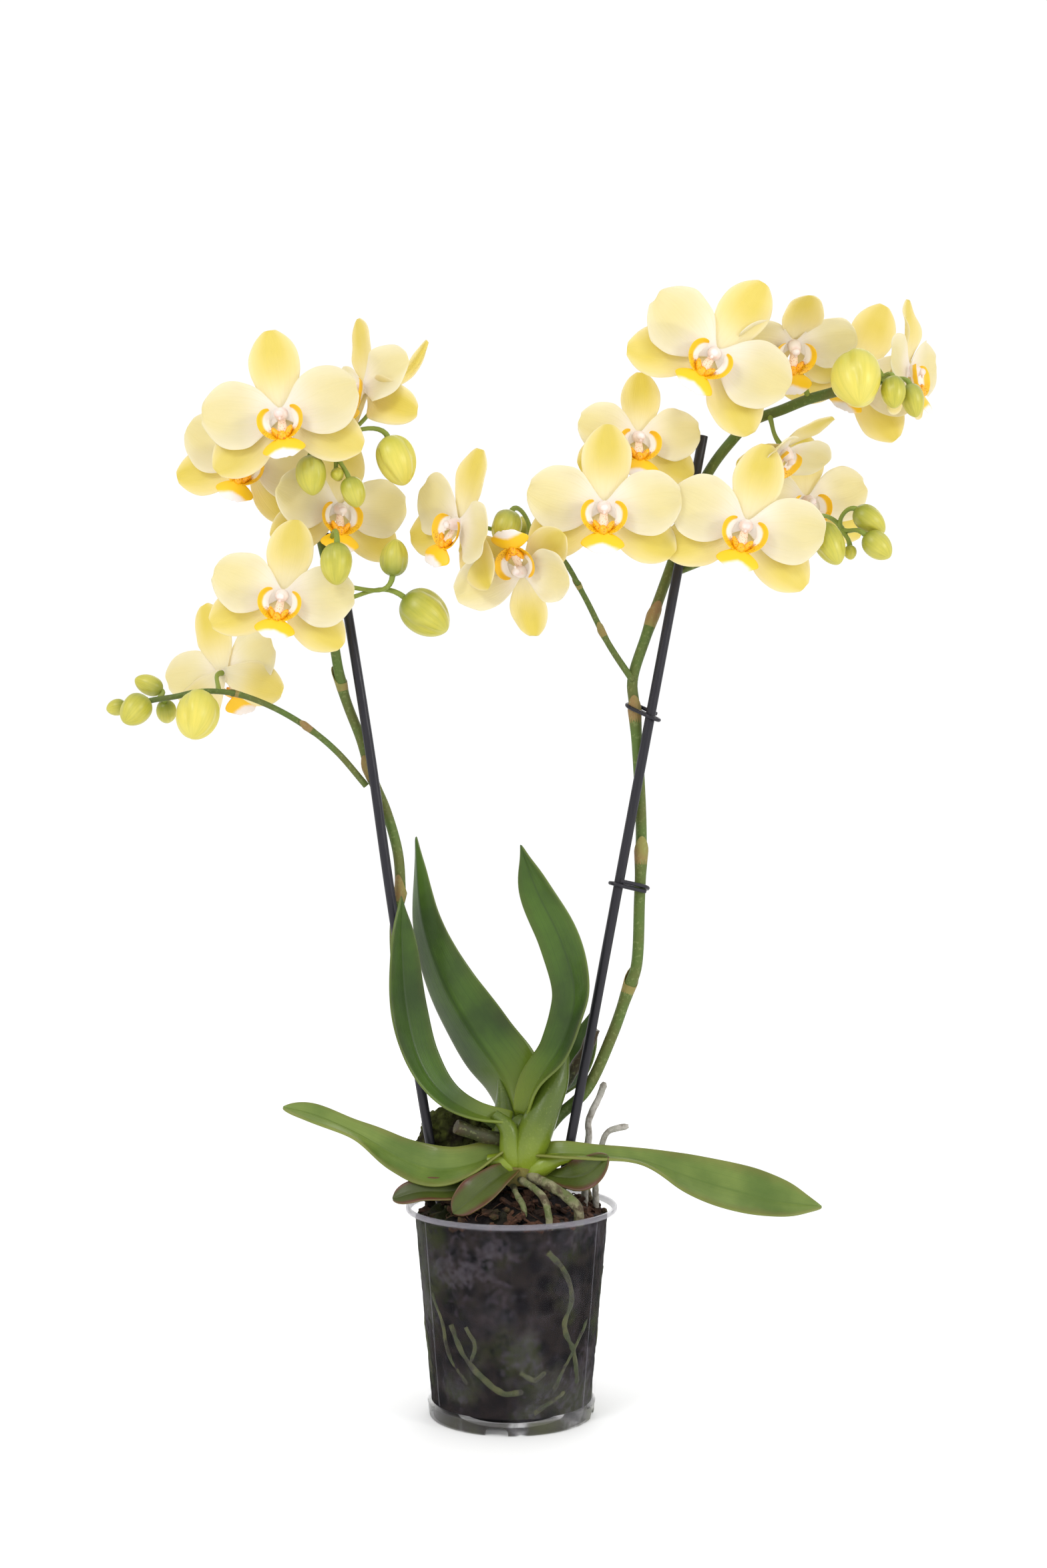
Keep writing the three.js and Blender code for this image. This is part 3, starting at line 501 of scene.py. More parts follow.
ROOT = root_finish("root", tone(140, 136, 104), tone(90, 100, 54), tone(76, 64, 44))
DRY_ROOT = root_finish("dry_root", tone(176, 172, 164), tone(150, 148, 138), tone(128, 122, 112))
DAMP_ROOT = root_finish("damp_root", tone(76, 78, 46), tone(52, 60, 32), tone(40, 38, 27))


def bark_finish():
    f = Finish("bark", roughness=0.9, Specular_IOR_Level=0.2)
    chip = f.cells(70.0)
    grain = f.noise(420.0, 5.0, roughness=0.65)
    cloud = f.noise(48.0, 4.0)
    colour = f.mix(chip.above(0.4, 0.3), tone(50, 36, 28), tone(92, 62, 46))
    colour = f.mix(grain.above(0.5, 0.14) * 0.7, colour, tone(40, 30, 26))
    colour = f.mix(cloud.above(0.62, 0.08) * 0.7, colour, tone(66, 72, 38))
    f.bump(grain * 1.2 + chip * 0.6, 0.9, 0.0016)
    return f.done(colour)


BARK = bark_finish()


def damp_mix_finish():
    """Bark that is pressed against the wall, with moss, peat and dried lime."""
    f = Finish("damp_mix", roughness=0.8, Specular_IOR_Level=0.05)
    lumps = f.cells(95.0)
    cloud = f.noise(34.0, 5.0)
    grain = f.noise(260.0, 5.0, roughness=0.65)
    lime = f.noise(21.0, 5.0, roughness=0.62)
    colour = f.mix(lumps.above(0.45, 0.3), tone(16, 15, 17), tone(40, 35, 34))
    colour = f.mix(cloud.above(0.55, 0.08) * 0.7, colour, tone(50, 56, 30))
    colour = f.mix(grain.above(0.56, 0.07) * 0.7, colour, tone(10, 9, 10))
    patches = (lime * 0.6 + grain * 0.4).above(0.57, 0.07) * 0.24
    colour = f.mix(patches, colour, tone(126, 118, 128))
    f.bump(grain + lumps, 0.9, 0.002)
    return f.done(colour)


DAMP_MIX = damp_mix_finish()


def moss_finish():
    f = Finish("moss", roughness=0.95, Specular_IOR_Level=0.1)
    clumps = f.cells(210.0)
    cloud = f.noise(70.0, 5.0)
    colour = f.mix(cloud.above(0.5, 0.1), tone(38, 32, 24), tone(72, 78, 34))
    colour = f.mix(clumps.above(0.42, 0.2) * 0.5, colour, tone(28, 24, 20))
    f.bump(clumps + cloud, 1.0, 0.002)
    return f.done(colour)


MOSS = moss_finish()


# %% [markdown]
# ## Plastic: the finishes
# The pot is clear plastic gone slightly grey, so most of its Alpha is low, and the lime haze
# is a little denser. Under its raised floor the foot is darkened in patches, as painted shade.
# Stakes and clips are black plastic with a fine grain along them.

# %% Plastic finishes
FLOOR_LINE = 0.0076  # height of the pot's raised floor
LIP_LINE = 0.114  # height at which the thick lip starts
FOOT_RING = 0.04  # the foot is the ring outside this radius


def clear_finish(name, thin, hazed, tint):
    """See-through where it is clean, and denser in the lime haze, the painted foot shade and the
    lip.
    """
    f = Finish(name, IOR=1.5, Coat_Weight=0.2, Coat_Roughness=0.06)
    haze = f.noise(30.0, 5.0, roughness=0.6)
    speck = f.noise(340.0, 3.0)
    cover = (haze * 0.75 + speck * 0.25).above(0.55, 0.1) * (hazed - thin) + thin
    colour = f.mix(haze, tint, tone(156, 150, 162))
    x, y, z = [f.across(f.place, axis) for axis in range(3)]
    # Painted shade: under the raised floor the foot is made denser and dark olive-brown in
    # patches.
    foot = (1 - z.above(FLOOR_LINE, 0.0006)) * (x * x + y * y).above(FOOT_RING**2, 0.0001)
    painted_foot_shade = foot * (1 - f.noise(42.0, 5.0).above(0.58, 0.07))
    cover = cover + painted_foot_shade * 0.62 + z.above(LIP_LINE, 0.0008) * 0.16
    colour = f.mix(painted_foot_shade, colour, f.mix(haze.above(0.5, 0.1), tone(44, 40, 36), tone(72, 74, 46)))
    f.bump(haze + speck * 0.2, 0.06, 0.001)
    return f.done(colour, roughness=speck * 0.16 + 0.1, alpha=cover)


CLEAR = clear_finish("clear_plastic", 0.008, 0.05, tone(96, 94, 104))
CLEAR_RIM = clear_finish("clear_rim", 0.2, 0.3, tone(124, 126, 132))


def black_finish():
    f = Finish("black_plastic", Specular_IOR_Level=0.35)
    grain = f.noise(1.0, 3.0, f.stretched(f.place, 700, 700, 30))
    f.bump(grain, 0.25, 0.0005)
    return f.done(f.mix(grain, tone(20, 19, 26), tone(36, 34, 42)), roughness=grain * 0.2 + 0.28)


BLACK = black_finish()

# %% [markdown]
# ## The lines that the plant follows
# Stems, roots and leaves are all drawn along smooth lines through a few points, in millimetres
# with heights from the rim. They are the solid model's own lines, so each new piece lies in
# the place of its solid. Only the tall left leaf is turned wider towards the front.

# %% Tables of the plant
STEMS = {
    "spike_left": [(0, 6, 38), (-22, 6, 53), (-40, 8, 65), (-54, 14, 84), (-63, 14, 112),
        (-67, 14, 154), (-64, 12, 175), (-65, 11, 198), (-72, 12, 223), (-80, 12, 242),
        (-86, 11, 263), (-96, 7, 291), (-102, -3, 331), (-104, -2, 358), (-109, 4, 381),
        (-114, 12, 408), (-117, 11, 430), (-113, 0, 439), (-105, -20, 430), (-97, -28, 420)],
    "spike_right": [(13, 4, 30), (26, 5, 48), (42, 6, 63), (57, 7, 94), (67, 8, 122),
        (71, 8, 133), (73, 8, 172), (74, 8, 207), (73, 8, 238), (70, 8, 283), (69, 8, 297),
        (77, 10, 323), (93, 12, 368), (100, 12, 390), (113, 10, 417), (124, 9, 432),
        (137, 10, 445), (155, 9, 452), (168, 7, 457), (180, 4, 460), (194, -8, 462),
        (206, -25, 463)],
    "branch_left": [(-83, 9, 237), (-99, 4, 256), (-114, -3, 269), (-134, -7, 281),
        (-156, -8, 289), (-175, -10, 290), (-189, -12, 287), (-201, -14, 285),
        (-212, -14, 282)],
    "branch_middle": [(69, 6, 297), (55, 4, 318), (41, 0, 345), (28, -4, 366), (17, -6, 372),
        (10, -8, 376)],
    "branch_right": [(97, 9, 360), (108, 4, 364), (130, 2, 374), (156, 3, 380), (177, 1, 382),
        (187, -6, 381)],
}
STAKES = {
    "stake_left": [(-100.5, 5, 383), (-99, 5, 372), (-81, 3, 260), (-68, 4, 169), (-47, 4, 38),
        (-33, 4, -40)],
    "stake_right": [(109, 4, 436), (71.5, 1, 238), (34, -2, 39), (19, -3, -40)],
}
ROOTS = {  # diameter, points
    "root_front_thick": (5.8, [(10, -10, 18), (22, -27, 15), (31, -33, 10), (37, -33, 3),
        (36, -32, -12)]),
    "root_front_thin": (4, [(4, -9, 16), (10, -24, 15), (18, -37, 10), (21, -43, -2),
        (20, -42, -14)]),
    "root_front_broken": (3.4, [(1, -9, 12), (3, -24, 10), (7, -35, 4), (7, -36, -12)]),
    "root_upright": (4, [(42, 8, -10), (42, 8, 24), (44, 8, 36), (44, 7, 46), (50, 6, 60),
        (53, 6, 68)]),
    "root_pale": (3.6, [(48, -2, -10), (48, -2, 24), (51, -4, 34), (55, -5, 42), (66, -6, 45)]),
    "root_back": (4.4, [(14, 7, 15), (28, 12, 15), (40, 17, 12), (46, 19, -10)]),
}
WALL_ROOTS = {  # diameter, (degrees from the front, share of the height)
    "root_wall_left": (5, [(-42, 0.5), (-34, 0.38), (-20, 0.27), (-4, 0.2), (10, 0.21)]),
    "root_wall_right": (4.4, [(22, 0.86), (34, 0.76), (41, 0.62), (36, 0.5), (46, 0.36),
        (52, 0.2)]),
}
OLD_SPIKES = {
    "old_spike_left": (8, [(-2, -2, 36), (-16, -8, 40), (-31, -13, 46)]),
    "old_spike_right": (7, [(14, 3, 48), (30, 8, 67), (43, 10, 87), (47, 9, 98)]),
}
LEAVES = {  # point, half of the blade's width, the way that its upper side faces
    "leaf_tall_left": [
        ((4, 7, 49), 10, (-0.2, 0.8, 0.5)),
        ((-4, 16, 69), 21, (0.2, 0.9, 0.4)),
        ((-20, 20, 92), 21, (0.3, 0.9, 0.3)),
        ((-38, 22, 122), 17, (0.4, 0.88, 0.2)),
        ((-51, 22, 160), 11, (0.6, 0.8, 0.1)),
        ((-55, 20, 208), 1, (0.8, 0.6, 0)),
    ],
    "leaf_front_left": [
        ((0, -4, 46), 6, (0, -0.5, 0.85)),
        ((-22, -10, 53), 8, (0.2, -0.6, 0.75)),
        ((-40, -12, 65), 10, (0.45, -0.7, 0.5)),
        ((-52, -12, 83), 12, (0.6, -0.75, 0.2)),
        ((-59, -10, 112), 12, (0.5, -0.85, 0)),
        ((-62, -8, 150), 8, (0.5, -0.85, 0)),
        ((-62, -6, 175), 1, (0.5, -0.85, 0)),
    ],
    "leaf_tall_right": [
        ((8, -2, 50), 6, (-0.2, -0.6, 0.75)),
        ((15, -6, 70), 12, (-0.5, -0.5, 0.7)),
        ((27, -8, 88), 14, (-0.7, -0.6, 0.4)),
        ((34, -8, 106), 14, (-0.75, -0.65, 0.1)),
        ((36, -7, 121), 13, (-0.55, -0.8, 0.05)),
        ((28, -8, 150), 13, (-0.3, -0.93, -0.1)),
        ((14, -10, 179), 10, (-0.25, -0.93, -0.2)),
        ((5, -10, 204), 1, (-0.25, -0.93, -0.2)),
    ],
    "leaf_back_right": [
        ((6, 8, 34), 6, (-0.4, 0.3, 0.85)),
        ((22, 26, 51), 10, (-0.6, -0.2, 0.75)),
        ((38, 32, 68), 12, (-0.75, -0.5, 0.4)),
        ((45, 33, 88), 11, (-0.7, -0.65, 0.2)),
        ((47, 33, 107), 1, (-0.7, -0.65, 0.2)),
    ],
    "leaf_low_left": [
        ((-1, -3, 31), 6, (0, -0.3, 0.95)),
        ((-25, -11, 23), 12, (0, -0.6, 0.8)),
        ((-43, -14, 22), 14, (0, -0.75, 0.65)),
        ((-62, -15, 29), 11, (-0.2, -0.8, 0.5)),
        ((-88, -16, 43), 8, (-0.3, -0.4, 0.85)),
        ((-111, -16, 53), 7, (-0.2, -0.6, 0.75)),
        ((-128, -16, 57), 5, (0, -0.7, 0.7)),
    ],
    "leaf_small_left": [
        ((-3, -6, 19), 5, (0, -0.5, 0.85)),
        ((-32, -22, 11), 8, (0, -0.6, 0.75)),
        ((-52, -24, 11), 8, (0, -0.7, 0.7)),
        ((-66, -24, 7), 6, (0, -0.7, 0.7)),
    ],
    "leaf_small_front": [
        ((4, -6, 22), 4, (0, -0.6, 0.8)),
        ((-8, -20, 18), 8, (0, -0.75, 0.65)),
        ((-20, -28, 10), 10, (-0.1, -0.85, 0.5)),
        ((-32, -33, 1), 6, (-0.2, -0.9, 0.4)),
    ],
    "leaf_low_right": [
        ((13, -6, 28), 6, (0, -0.5, 0.85)),
        ((28, -13, 30), 8, (0, -0.5, 0.85)),
        ((45, -15, 30), 8, (0, -0.4, 0.9)),
        ((72, -14, 27), 8, (0, -0.4, 0.9)),
        ((101, -15, 17), 14, (0, -0.7, 0.7)),
        ((129, -16, 9), 16, (0.1, -0.75, 0.65)),
        ((152, -16, 4), 12, (0.2, -0.75, 0.6)),
        ((174, -15, 1), 4, (0.3, -0.7, 0.6)),
    ],
    "leaf_small_right": [
        ((13, -4, 20), 4, (0, -0.4, 0.9)),
        ((26, -12, 17), 6, (0, -0.7, 0.7)),
        ((41, -18, 20), 10, (-0.3, -0.9, 0.3)),
        ((54, -21, 31), 5, (-0.3, -0.9, 0.2)),
    ],
}
FLOWERS = {  # middle, (turn, tilt, roll), share of a full flower, stem, where it leaves and how
    "flower_left_top": ((-126, -38, 441), (-5, 2, -9), 1.04, "spike_left", 0.9, (0, -0.3, 1)),
    "flower_left_behind": ((-148, -2, 421), (-8, 0, 20), 0.96, "spike_left"),
    "flower_left_front": ((-126, -34, 342), (0, 0, 10), 0.93, "spike_left"),
    "flower_left_back": ((-165, 18, 302), (155, 5, 15), 0.9, "branch_left"),
    "flower_left_side": ((-83, -12, 460), (-60, 5, -8), 0.88, "spike_left", 0.97, (1, 0.7, -0.2)),
    "flower_left_low": ((-97, -8, 393), (22, -4, 5), 0.92, "spike_left"),
    "flower_middle_left": ((-29, -30, 382), (-52, 0, 26), 0.95, "branch_middle"),
    "flower_middle_hanging": ((6, -34, 355), (-25, -15, 176), 0.8, "branch_middle"),
    "flower_middle_front": ((51, -38, 390), (0, 0, 3), 1, "spike_right"),
    "flower_middle_behind": ((71, -16, 432), (8, 4, 4), 0.82, "spike_right"),
    "flower_right_top": ((112, -34, 475), (0, 0, 35), 1.05, "spike_right"),
    "flower_right_nodding": ((158, -16, 484), (5, -34, 0), 0.82, "spike_right"),
    "flower_right_behind": ((200, 36, 477), (6, 0, 24), 0.98, "spike_right", 0.95, (0, 1, -0.8)),
    "flower_right_end": ((226, 4, 473), (62, 0, -5), 0.88, "spike_right"),
    "flower_right_side": ((154, -8, 426), (55, -50, 0), 0.72, "spike_right"),
    "flower_right_front": ((129, -36, 380), (0, 0, 15), 1.02, "branch_right"),
    "flower_right_low": ((172, 34, 403), (16, 0, -5), 0.88, "branch_right", 0.82, (0.6, 1, -0.7)),
}
BUDS = {  # middle, the way its tip points, (length, width), stem
    "bud_left_top": ((-110, -34, 408), (0.1, -0.2, -1), (23, 17), "spike_left"),
    "bud_left_inner": ((-64, -22, 418), (0.33, 0, -0.94), (29, 22), "spike_left"),
    "bud_left_centre": ((-95, -47, 358), (0, -0.2, -0.95), (24, 18), "spike_left"),
    "bud_left_upright": ((-65, -22, 364), (0.1, 0, 1), (21, 16), "spike_left"),
    "bud_left_low": ((-48, -18, 333), (0.78, 0, -0.62), (31, 25), "spike_left"),
    "bud_left_opening": ((-174, -28, 276), (-0.1, -0.5, -0.85), (30, 24), "branch_left"),
    "bud_middle": ((-3, -27, 380), (-0.3, -0.2, -0.9), (21, 17), "branch_middle"),
    "bud_right_opening": ((189, -44, 459), (0, -0.5, -0.85), (35, 28), "spike_right"),
    "bud_right_low": ((176, -28, 371), (0.4, -0.2, -0.9), (26, 17), "branch_right"),
}
SMALL_BUDS = [
    ((-87, -32, 399), (0.3, -0.2, -0.9), (17, 13), "spike_left"),
    ((-96, -30, 409), (0.2, -0.6, -0.6), (8, 7), "spike_left"),
    ((-205, -4, 294), (-0.9, 0, 0.4), (16, 11), "branch_left"),
    ((-209, -24, 279), (-0.5, -0.5, -0.7), (19, 16), "branch_left"),
    ((-222, -10, 281), (-1, 0, -0.2), (11, 9), "branch_left"),
    ((-196, 2, 279), (0, 0.6, -0.8), (14, 11), "branch_left"),
    ((209, -44, 452), (0, -0.3, -0.95), (18, 13), "spike_right"),
    ((221, -36, 449), (0.2, 0, -1), (18, 12), "spike_right"),
    ((200, -19, 385), (0.7, 0, -0.6), (20, 14), "branch_right"),
    ((203, -27, 370), (0.7, -0.2, -0.7), (18, 14), "branch_right"),
    ((189, -20, 367), (0, -0.4, -0.9), (8, 7), "branch_right"),
    ((6, -2, 384), (0.2, 0.4, 0.9), (12, 9), "branch_middle"),
]
print(len(FLOWERS), "flowers,", len(BUDS) + len(SMALL_BUDS), "buds,", len(LEAVES), "leaves")


# %% [markdown]
# A smooth line is a centripetal spline: it goes through each point, and doesn't loop where
# two points are close. It is then divided into equal steps, so that rods keep an even mesh.


# %% A smooth line through points
def line_through(points, step=3.0):
    """Evenly spaced points on a centripetal spline, in the units of the points."""
    pts = [Vector(p) for p in points]
    ends = [pts[0] * 2 - pts[1], *pts, pts[-1] * 2 - pts[-2]]
    fine = []
    for p0, p1, p2, p3 in zip(ends, ends[1:], ends[2:], ends[3:]):
        t0, t1 = 0.0, (p1 - p0).length ** 0.5
        t2 = t1 + (p2 - p1).length ** 0.5
        t3 = t2 + (p3 - p2).length ** 0.5
        for i in range(24):
            t = t1 + (t2 - t1) * i / 24
            a = p0.lerp(p1, (t - t0) / (t1 - t0))
            b = p1.lerp(p2, (t - t1) / (t2 - t1))
            c = p2.lerp(p3, (t - t2) / (t3 - t2))
            d = a.lerp(b, (t - t0) / (t2 - t0))
            e = b.lerp(c, (t - t1) / (t3 - t1))
            fine.append(d.lerp(e, (t - t1) / (t2 - t1)))
    fine.append(pts[-1])
    gaps = [(b - a).length for a, b in zip(fine, fine[1:])]
    count = max(2, round(sum(gaps) / step))
    spaced, gone, j = [fine[0]], 0.0, 0
    for i in range(1, count):
        want = sum(gaps) * i / count
        while gone + gaps[j] < want:
            gone += gaps[j]
            j += 1
        spaced.append(fine[j].lerp(fine[j + 1], (want - gone) / gaps[j]))
    return [*spaced, fine[-1]]


def bezier(start, first, second, end, count=14):
    def point(t):
        s = 1 - t
        return start * s**3 + first * (3 * s * s * t) + second * (3 * s * t * t) + end * t**3

    return [point(i / count) for i in range(count + 1)]


line = line_through(STEMS["spike_left"])
print("a spike is", round(sum((b - a).length for a, b in zip(line, line[1:]))), "mm long")

# %% [markdown]
# ## Stems, stakes and roots
# Each of these is a round rod on a smooth line. A curve with a round bevel is the natural way:
# its radius can differ at each point, so a stem can taper and swell at its joints, and a root
# can be knobbly. The curve is then converted to a mesh.


# %% A rod along a line
def rod(name, points, radii, sides=5):
    """A tube through points in millimetres, whose radius in millimetres may change."""
    data = bpy.data.curves.new(name, "CURVE")
    data.dimensions = "3D"
    data.bevel_depth = 0.001
    data.bevel_resolution = sides
    data.use_fill_caps = True
    spline = data.splines.new("POLY")
    spline.points.add(len(points) - 1)
    for at, point, radius in zip(spline.points, points, radii):
        at.co = (*mm(*point), 1)
        at.radius = radius
    piece = bpy.data.objects.new(name, data)
    bpy.context.collection.objects.link(piece)
    only(piece)
    bpy.ops.object.convert(target="MESH")
    piece = new_piece(name)
    smooth(piece, 50)
    return piece


def roughen(piece, size, depth, seed=0):
    """Push each point in or out by noise, for what isn't smooth in nature."""
    piece.data.update()
    moves = []
    for v in piece.data.vertices:
        at = v.co / size + Vector((seed, 0, 0))
        moves.append(v.normal * noise.fractal(at, 1.0, 2.0, 3) * depth)
    for v, move in zip(piece.data.vertices, moves):
        v.co += move
    return piece


STAKE_RADIUS = 2.8
LINES = {name: line_through(points) for name, points in {**STEMS, **STAKES}.items()}
for name, blunt in (("stake_left", 0.75), ("stake_right", 0.85)):
    points = LINES[name]
    radii = [STAKE_RADIUS] * (len(points) - 1) + [STAKE_RADIUS * blunt]
    finish_piece(rod(name + "_rod", points, radii, 8), BLACK, [name])
print("stakes:", [len(LINES[n]) for n in STAKES])

# %% [markdown]
# A flower spike is fattest at the foot and thins towards its end. At each joint it swells
# under a papery bract. Every flower and bud hangs on its own thin stalk, which leaves the
# spike at the nearest place and bends round to meet the flower from behind.

# %% Flower facing and stalks
STALK_RADIUS = 1.35


def turned_by(degrees, axis, size=3):
    return Matrix.Rotation(math.radians(degrees), size, axis)


def facing(turn, tilt, roll):
    """How a flower that looks towards -Y with its top sepal up is turned to its place."""
    return turned_by(turn, "Z") @ turned_by(-tilt, "X") @ turned_by(roll, "Y")


def stalk(stem, end, away, start_share=None, leave=None):
    """A stalk's line, from the stem's nearest place or a given share of it, to its flower."""
    line = LINES[stem]
    if start_share is None:
        start = min(line, key=lambda p: (p - end).length)
    else:
        start = line[round(start_share * (len(line) - 1))]
    reach = end - start
    onward = away if reach.dot(away) > 0 else reach.normalized()
    first = Vector(leave).normalized() if leave else onward
    bend = reach.length * 0.4
    return bezier(start, start + first * bend, end + away * bend, end)


def bud_base(middle, tip, size):
    return Vector(middle) - Vector(tip).normalized() * (size[0] / 2)


stalks = {name: [] for name in STEMS}
for name, (middle, turned, share, stem, *route) in FLOWERS.items():
    away = facing(*turned) @ Vector((0, 1, 0))
    stalks[stem].append(stalk(stem, Vector(middle) + away * 3, away, *route))
for middle, tip, size, stem in [*BUDS.values(), *SMALL_BUDS]:
    away = -Vector(tip).normalized()
    stalks[stem].append(stalk(stem, bud_base(middle, tip, size) - away, away))
print("stalks:", {name: len(lines) for name, lines in stalks.items()})

# %% [markdown]
# Each spike and branch is one rod, thicker in a narrow band at every joint. Its stalks are
# thinnest in the middle, and are joined to one piece.

# %% Spikes and branches
RADII = {"spike_left": (3.3, 2.8), "spike_right": (3.4, 3.0), "branch_left": (1.9, 1.6)}
THIN = (2.0, 1.5)  # the other branches' radii, at the foot and at the end
JOINTS = {name: [0.2, 0.34, 0.49, 0.6] if "spike" in name else [0.3, 0.6] for name in STEMS}


def radius_at(name, share):
    low, high = RADII.get(name, THIN)
    return low + (high - low) * min(1, share * 1.5)


def swelling(share, joints):
    return 1 + 0.16 * sum(math.exp(-(((share - j) / 0.012) ** 2)) for j in joints)


for name in STEMS:
    line = LINES[name]
    shares = [i / (len(line) - 1) for i in range(len(line))]
    radii = [radius_at(name, s) * swelling(s, JOINTS[name]) for s in shares]
    finish_piece(rod(name + "_stem", line, radii, 6), STEM, [name])
    parts = []
    for i, points in enumerate(stalks[name]):
        waists = [math.sin(math.pi * k / (len(points) - 1)) for k in range(len(points))]
        widths = [STALK_RADIUS * (1.25 - 0.35 * waist) for waist in waists]
        parts.append(rod(f"{name}_stalk_{i}", points, widths, 4))
    finish_piece(joined(name + "_stalks", parts), PEDICEL)
    print(name, "with", len(parts), "stalks")

# %% [markdown]
# A bract is a dry scale that clasps the stem at a joint. It starts as an open cylinder, is
# divided into rows in edit mode, flares a little, and is drawn out longer on one side. A
# Solidify modifier then gives it a papery thickness.


# %% Bracts
def bract_master():
    shape = {"vertices": 20, "radius": 1, "depth": 1, "end_fill_type": "NOTHING"}
    piece = primitive("cylinder", "bract", **shape)
    mode("EDIT")
    bpy.ops.mesh.select_all(action="SELECT")
    bpy.ops.mesh.subdivide(number_cuts=3)
    mode("OBJECT")
    for v in piece.data.vertices:
        height = v.co.z + 0.5
        one_side = (v.co.x + 1) / 2
        v.co.z = height * (0.35 + 0.9 * one_side**2)
        v.co.x *= 1 + 0.14 * height + 0.12 * height**2 * one_side
        v.co.y *= 1 + 0.14 * height
    return piece


def placed_bract(master, name, line, share, radius, length, spin):
    """A copy of the bract round a line, with its sizes in millimetres."""
    i = max(1, min(len(line) - 2, round(share * (len(line) - 1))))
    along = (line[i + 1] - line[i - 1]).normalized()
    piece = copy_of(master, name)
    turn = along.to_track_quat("Z", "Y") @ Quaternion((0, 0, 1), spin)
    size = Matrix.Diagonal((radius / 1000, radius / 1000, length / 1000, 1))
    piece.data.transform(Matrix.Translation(mm(*line[i])) @ turn.to_matrix().to_4x4() @ size)
    modify(piece, "SOLIDIFY", thickness=0.0004)
    smooth(piece)
    return piece


master = bract_master()
for name in STEMS:
    parts = []
    for k, share in enumerate(JOINTS[name]):
        radius = radius_at(name, share) * 1.13
        around = (LINES[name], share - 0.006, radius, 3.6 * radius, k * math.pi)
        parts.append(placed_bract(master, f"b{k}", *around))
    finish_piece(joined(name + "_bracts", parts), BRACT)
bpy.data.objects.remove(master)
print("bracts on", len(STEMS), "stems")

# %% [markdown]
# Roots are knobbly, so their rods get uneven radii and their skin is pushed about by noise.
# Some more roots press against the inside of the clear wall, where they show through it.


# %% Roots and old flower stalks
POT_HEIGHT = RIM * 1000
POT_FOOT, POT_TOP = 93, 114  # diameters of the wall at its foot and under the lip
WALL = 1.3


def pot_radius(z):
    """The outside of the pot's wall at a height above the table, in millimetres."""
    return (POT_FOOT + (POT_TOP - POT_FOOT) * z / POT_HEIGHT) / 2


def on_wall(angle, share, inset):
    """A point behind the wall, at an angle from the front and a share of the pot's height."""
    z = POT_HEIGHT * share
    turn = math.radians(angle - 90)
    radius = pot_radius(z) - WALL - inset
    return (radius * math.cos(turn), radius * math.sin(turn), z - POT_HEIGHT)


def root_piece(name, points, diameter, material, replaced=(), seed=0):
    line = line_through(points, 2.0)
    bulges = [noise.noise(p / 6 + Vector((seed, 0, 0))) for p in line]
    radii = [diameter / 2 * (1 + 0.13 * bulge) for bulge in bulges]
    radii[-1] *= 0.55
    piece = roughen(rod(name, line, radii, 6), 0.004, 0.00035, seed)
    return finish_piece(piece, material, replaced)


for i, (name, (diameter, points)) in enumerate(ROOTS.items()):
    material = DRY_ROOT if name in ("root_pale", "root_upright") else ROOT
    root_piece(name + "_skin", points, diameter, material, [name], i)
for i, (name, (diameter, way)) in enumerate(WALL_ROOTS.items()):
    points = [on_wall(angle, share, diameter / 2 + 0.1) for angle, share in way]
    root_piece(name + "_skin", points, diameter, DAMP_ROOT, [name], 10 + i)
MORE_WALL_ROOTS = [
    (3.4, [(-60, 0.62), (-50, 0.5), (-46, 0.36), (-30, 0.22)]),
    (3.0, [(-30, 0.5), (-24, 0.42), (-27, 0.34)]),
    (3.8, [(6, 0.3), (16, 0.26), (24, 0.3)]),
    (3.2, [(30, 0.2), (38, 0.3), (50, 0.42), (58, 0.5)]),
    (3.0, [(16, 0.1), (26, 0.14), (40, 0.18)]),
    (3.4, [(90, 0.7), (100, 0.5), (92, 0.35), (108, 0.2)]),
    (3.6, [(150, 0.75), (160, 0.55), (175, 0.4), (190, 0.35)]),
    (3.2, [(215, 0.3), (230, 0.45), (236, 0.65)]),
    (3.4, [(255, 0.75), (262, 0.55), (280, 0.4), (290, 0.22)]),
]
for i, (diameter, way) in enumerate(MORE_WALL_ROOTS):
    points = [on_wall(angle, share, diameter / 2 + 0.15) for angle, share in way]
    root_piece(f"wall_root_{i}", points, diameter, DAMP_ROOT, (), 20 + i)
for i, (name, (diameter, points)) in enumerate(OLD_SPIKES.items()):
    line = line_through(points, 2.0)
    radii = [diameter / 2 * (1 + 0.05 * math.sin(k)) for k in range(len(line))]
    piece = roughen(rod(name + "_stub", line, radii, 6), 0.006, 0.0003, 30 + i)
    finish_piece(piece, DRY, [name])
print(len(ROOTS) + len(WALL_ROOTS) + len(MORE_WALL_ROOTS), "roots")

# %% [markdown]
# ## Blades, for leaves and petals
# Leaves and petals both start as a flat grid. For a petal the grid's rows are resized in edit
# mode to its outline, which is a small table of widths that are read off smoothly.


# %% Blades from a grid
def blank_blade(name, columns, rows):
    """A flat grid with x from -0.5 to 0.5 and y from 0 to 1, with a UV map."""
    piece = primitive("grid", name, x_subdivisions=columns, y_subdivisions=rows, size=1)
    mode("EDIT")
    bpy.ops.transform.translate(value=(0, 0.5, 0))
    mode("OBJECT")
    return piece


def select_row(piece, height):
    """In edit mode, select the vertices of a flat blade whose y is the given one."""
    mesh = bmesh.from_edit_mesh(piece.data)
    for v in mesh.verts:
        v.select_set(abs(v.co.y - height) < 1e-4)
    mesh.select_flush_mode()
    bmesh.update_edit_mesh(piece.data)


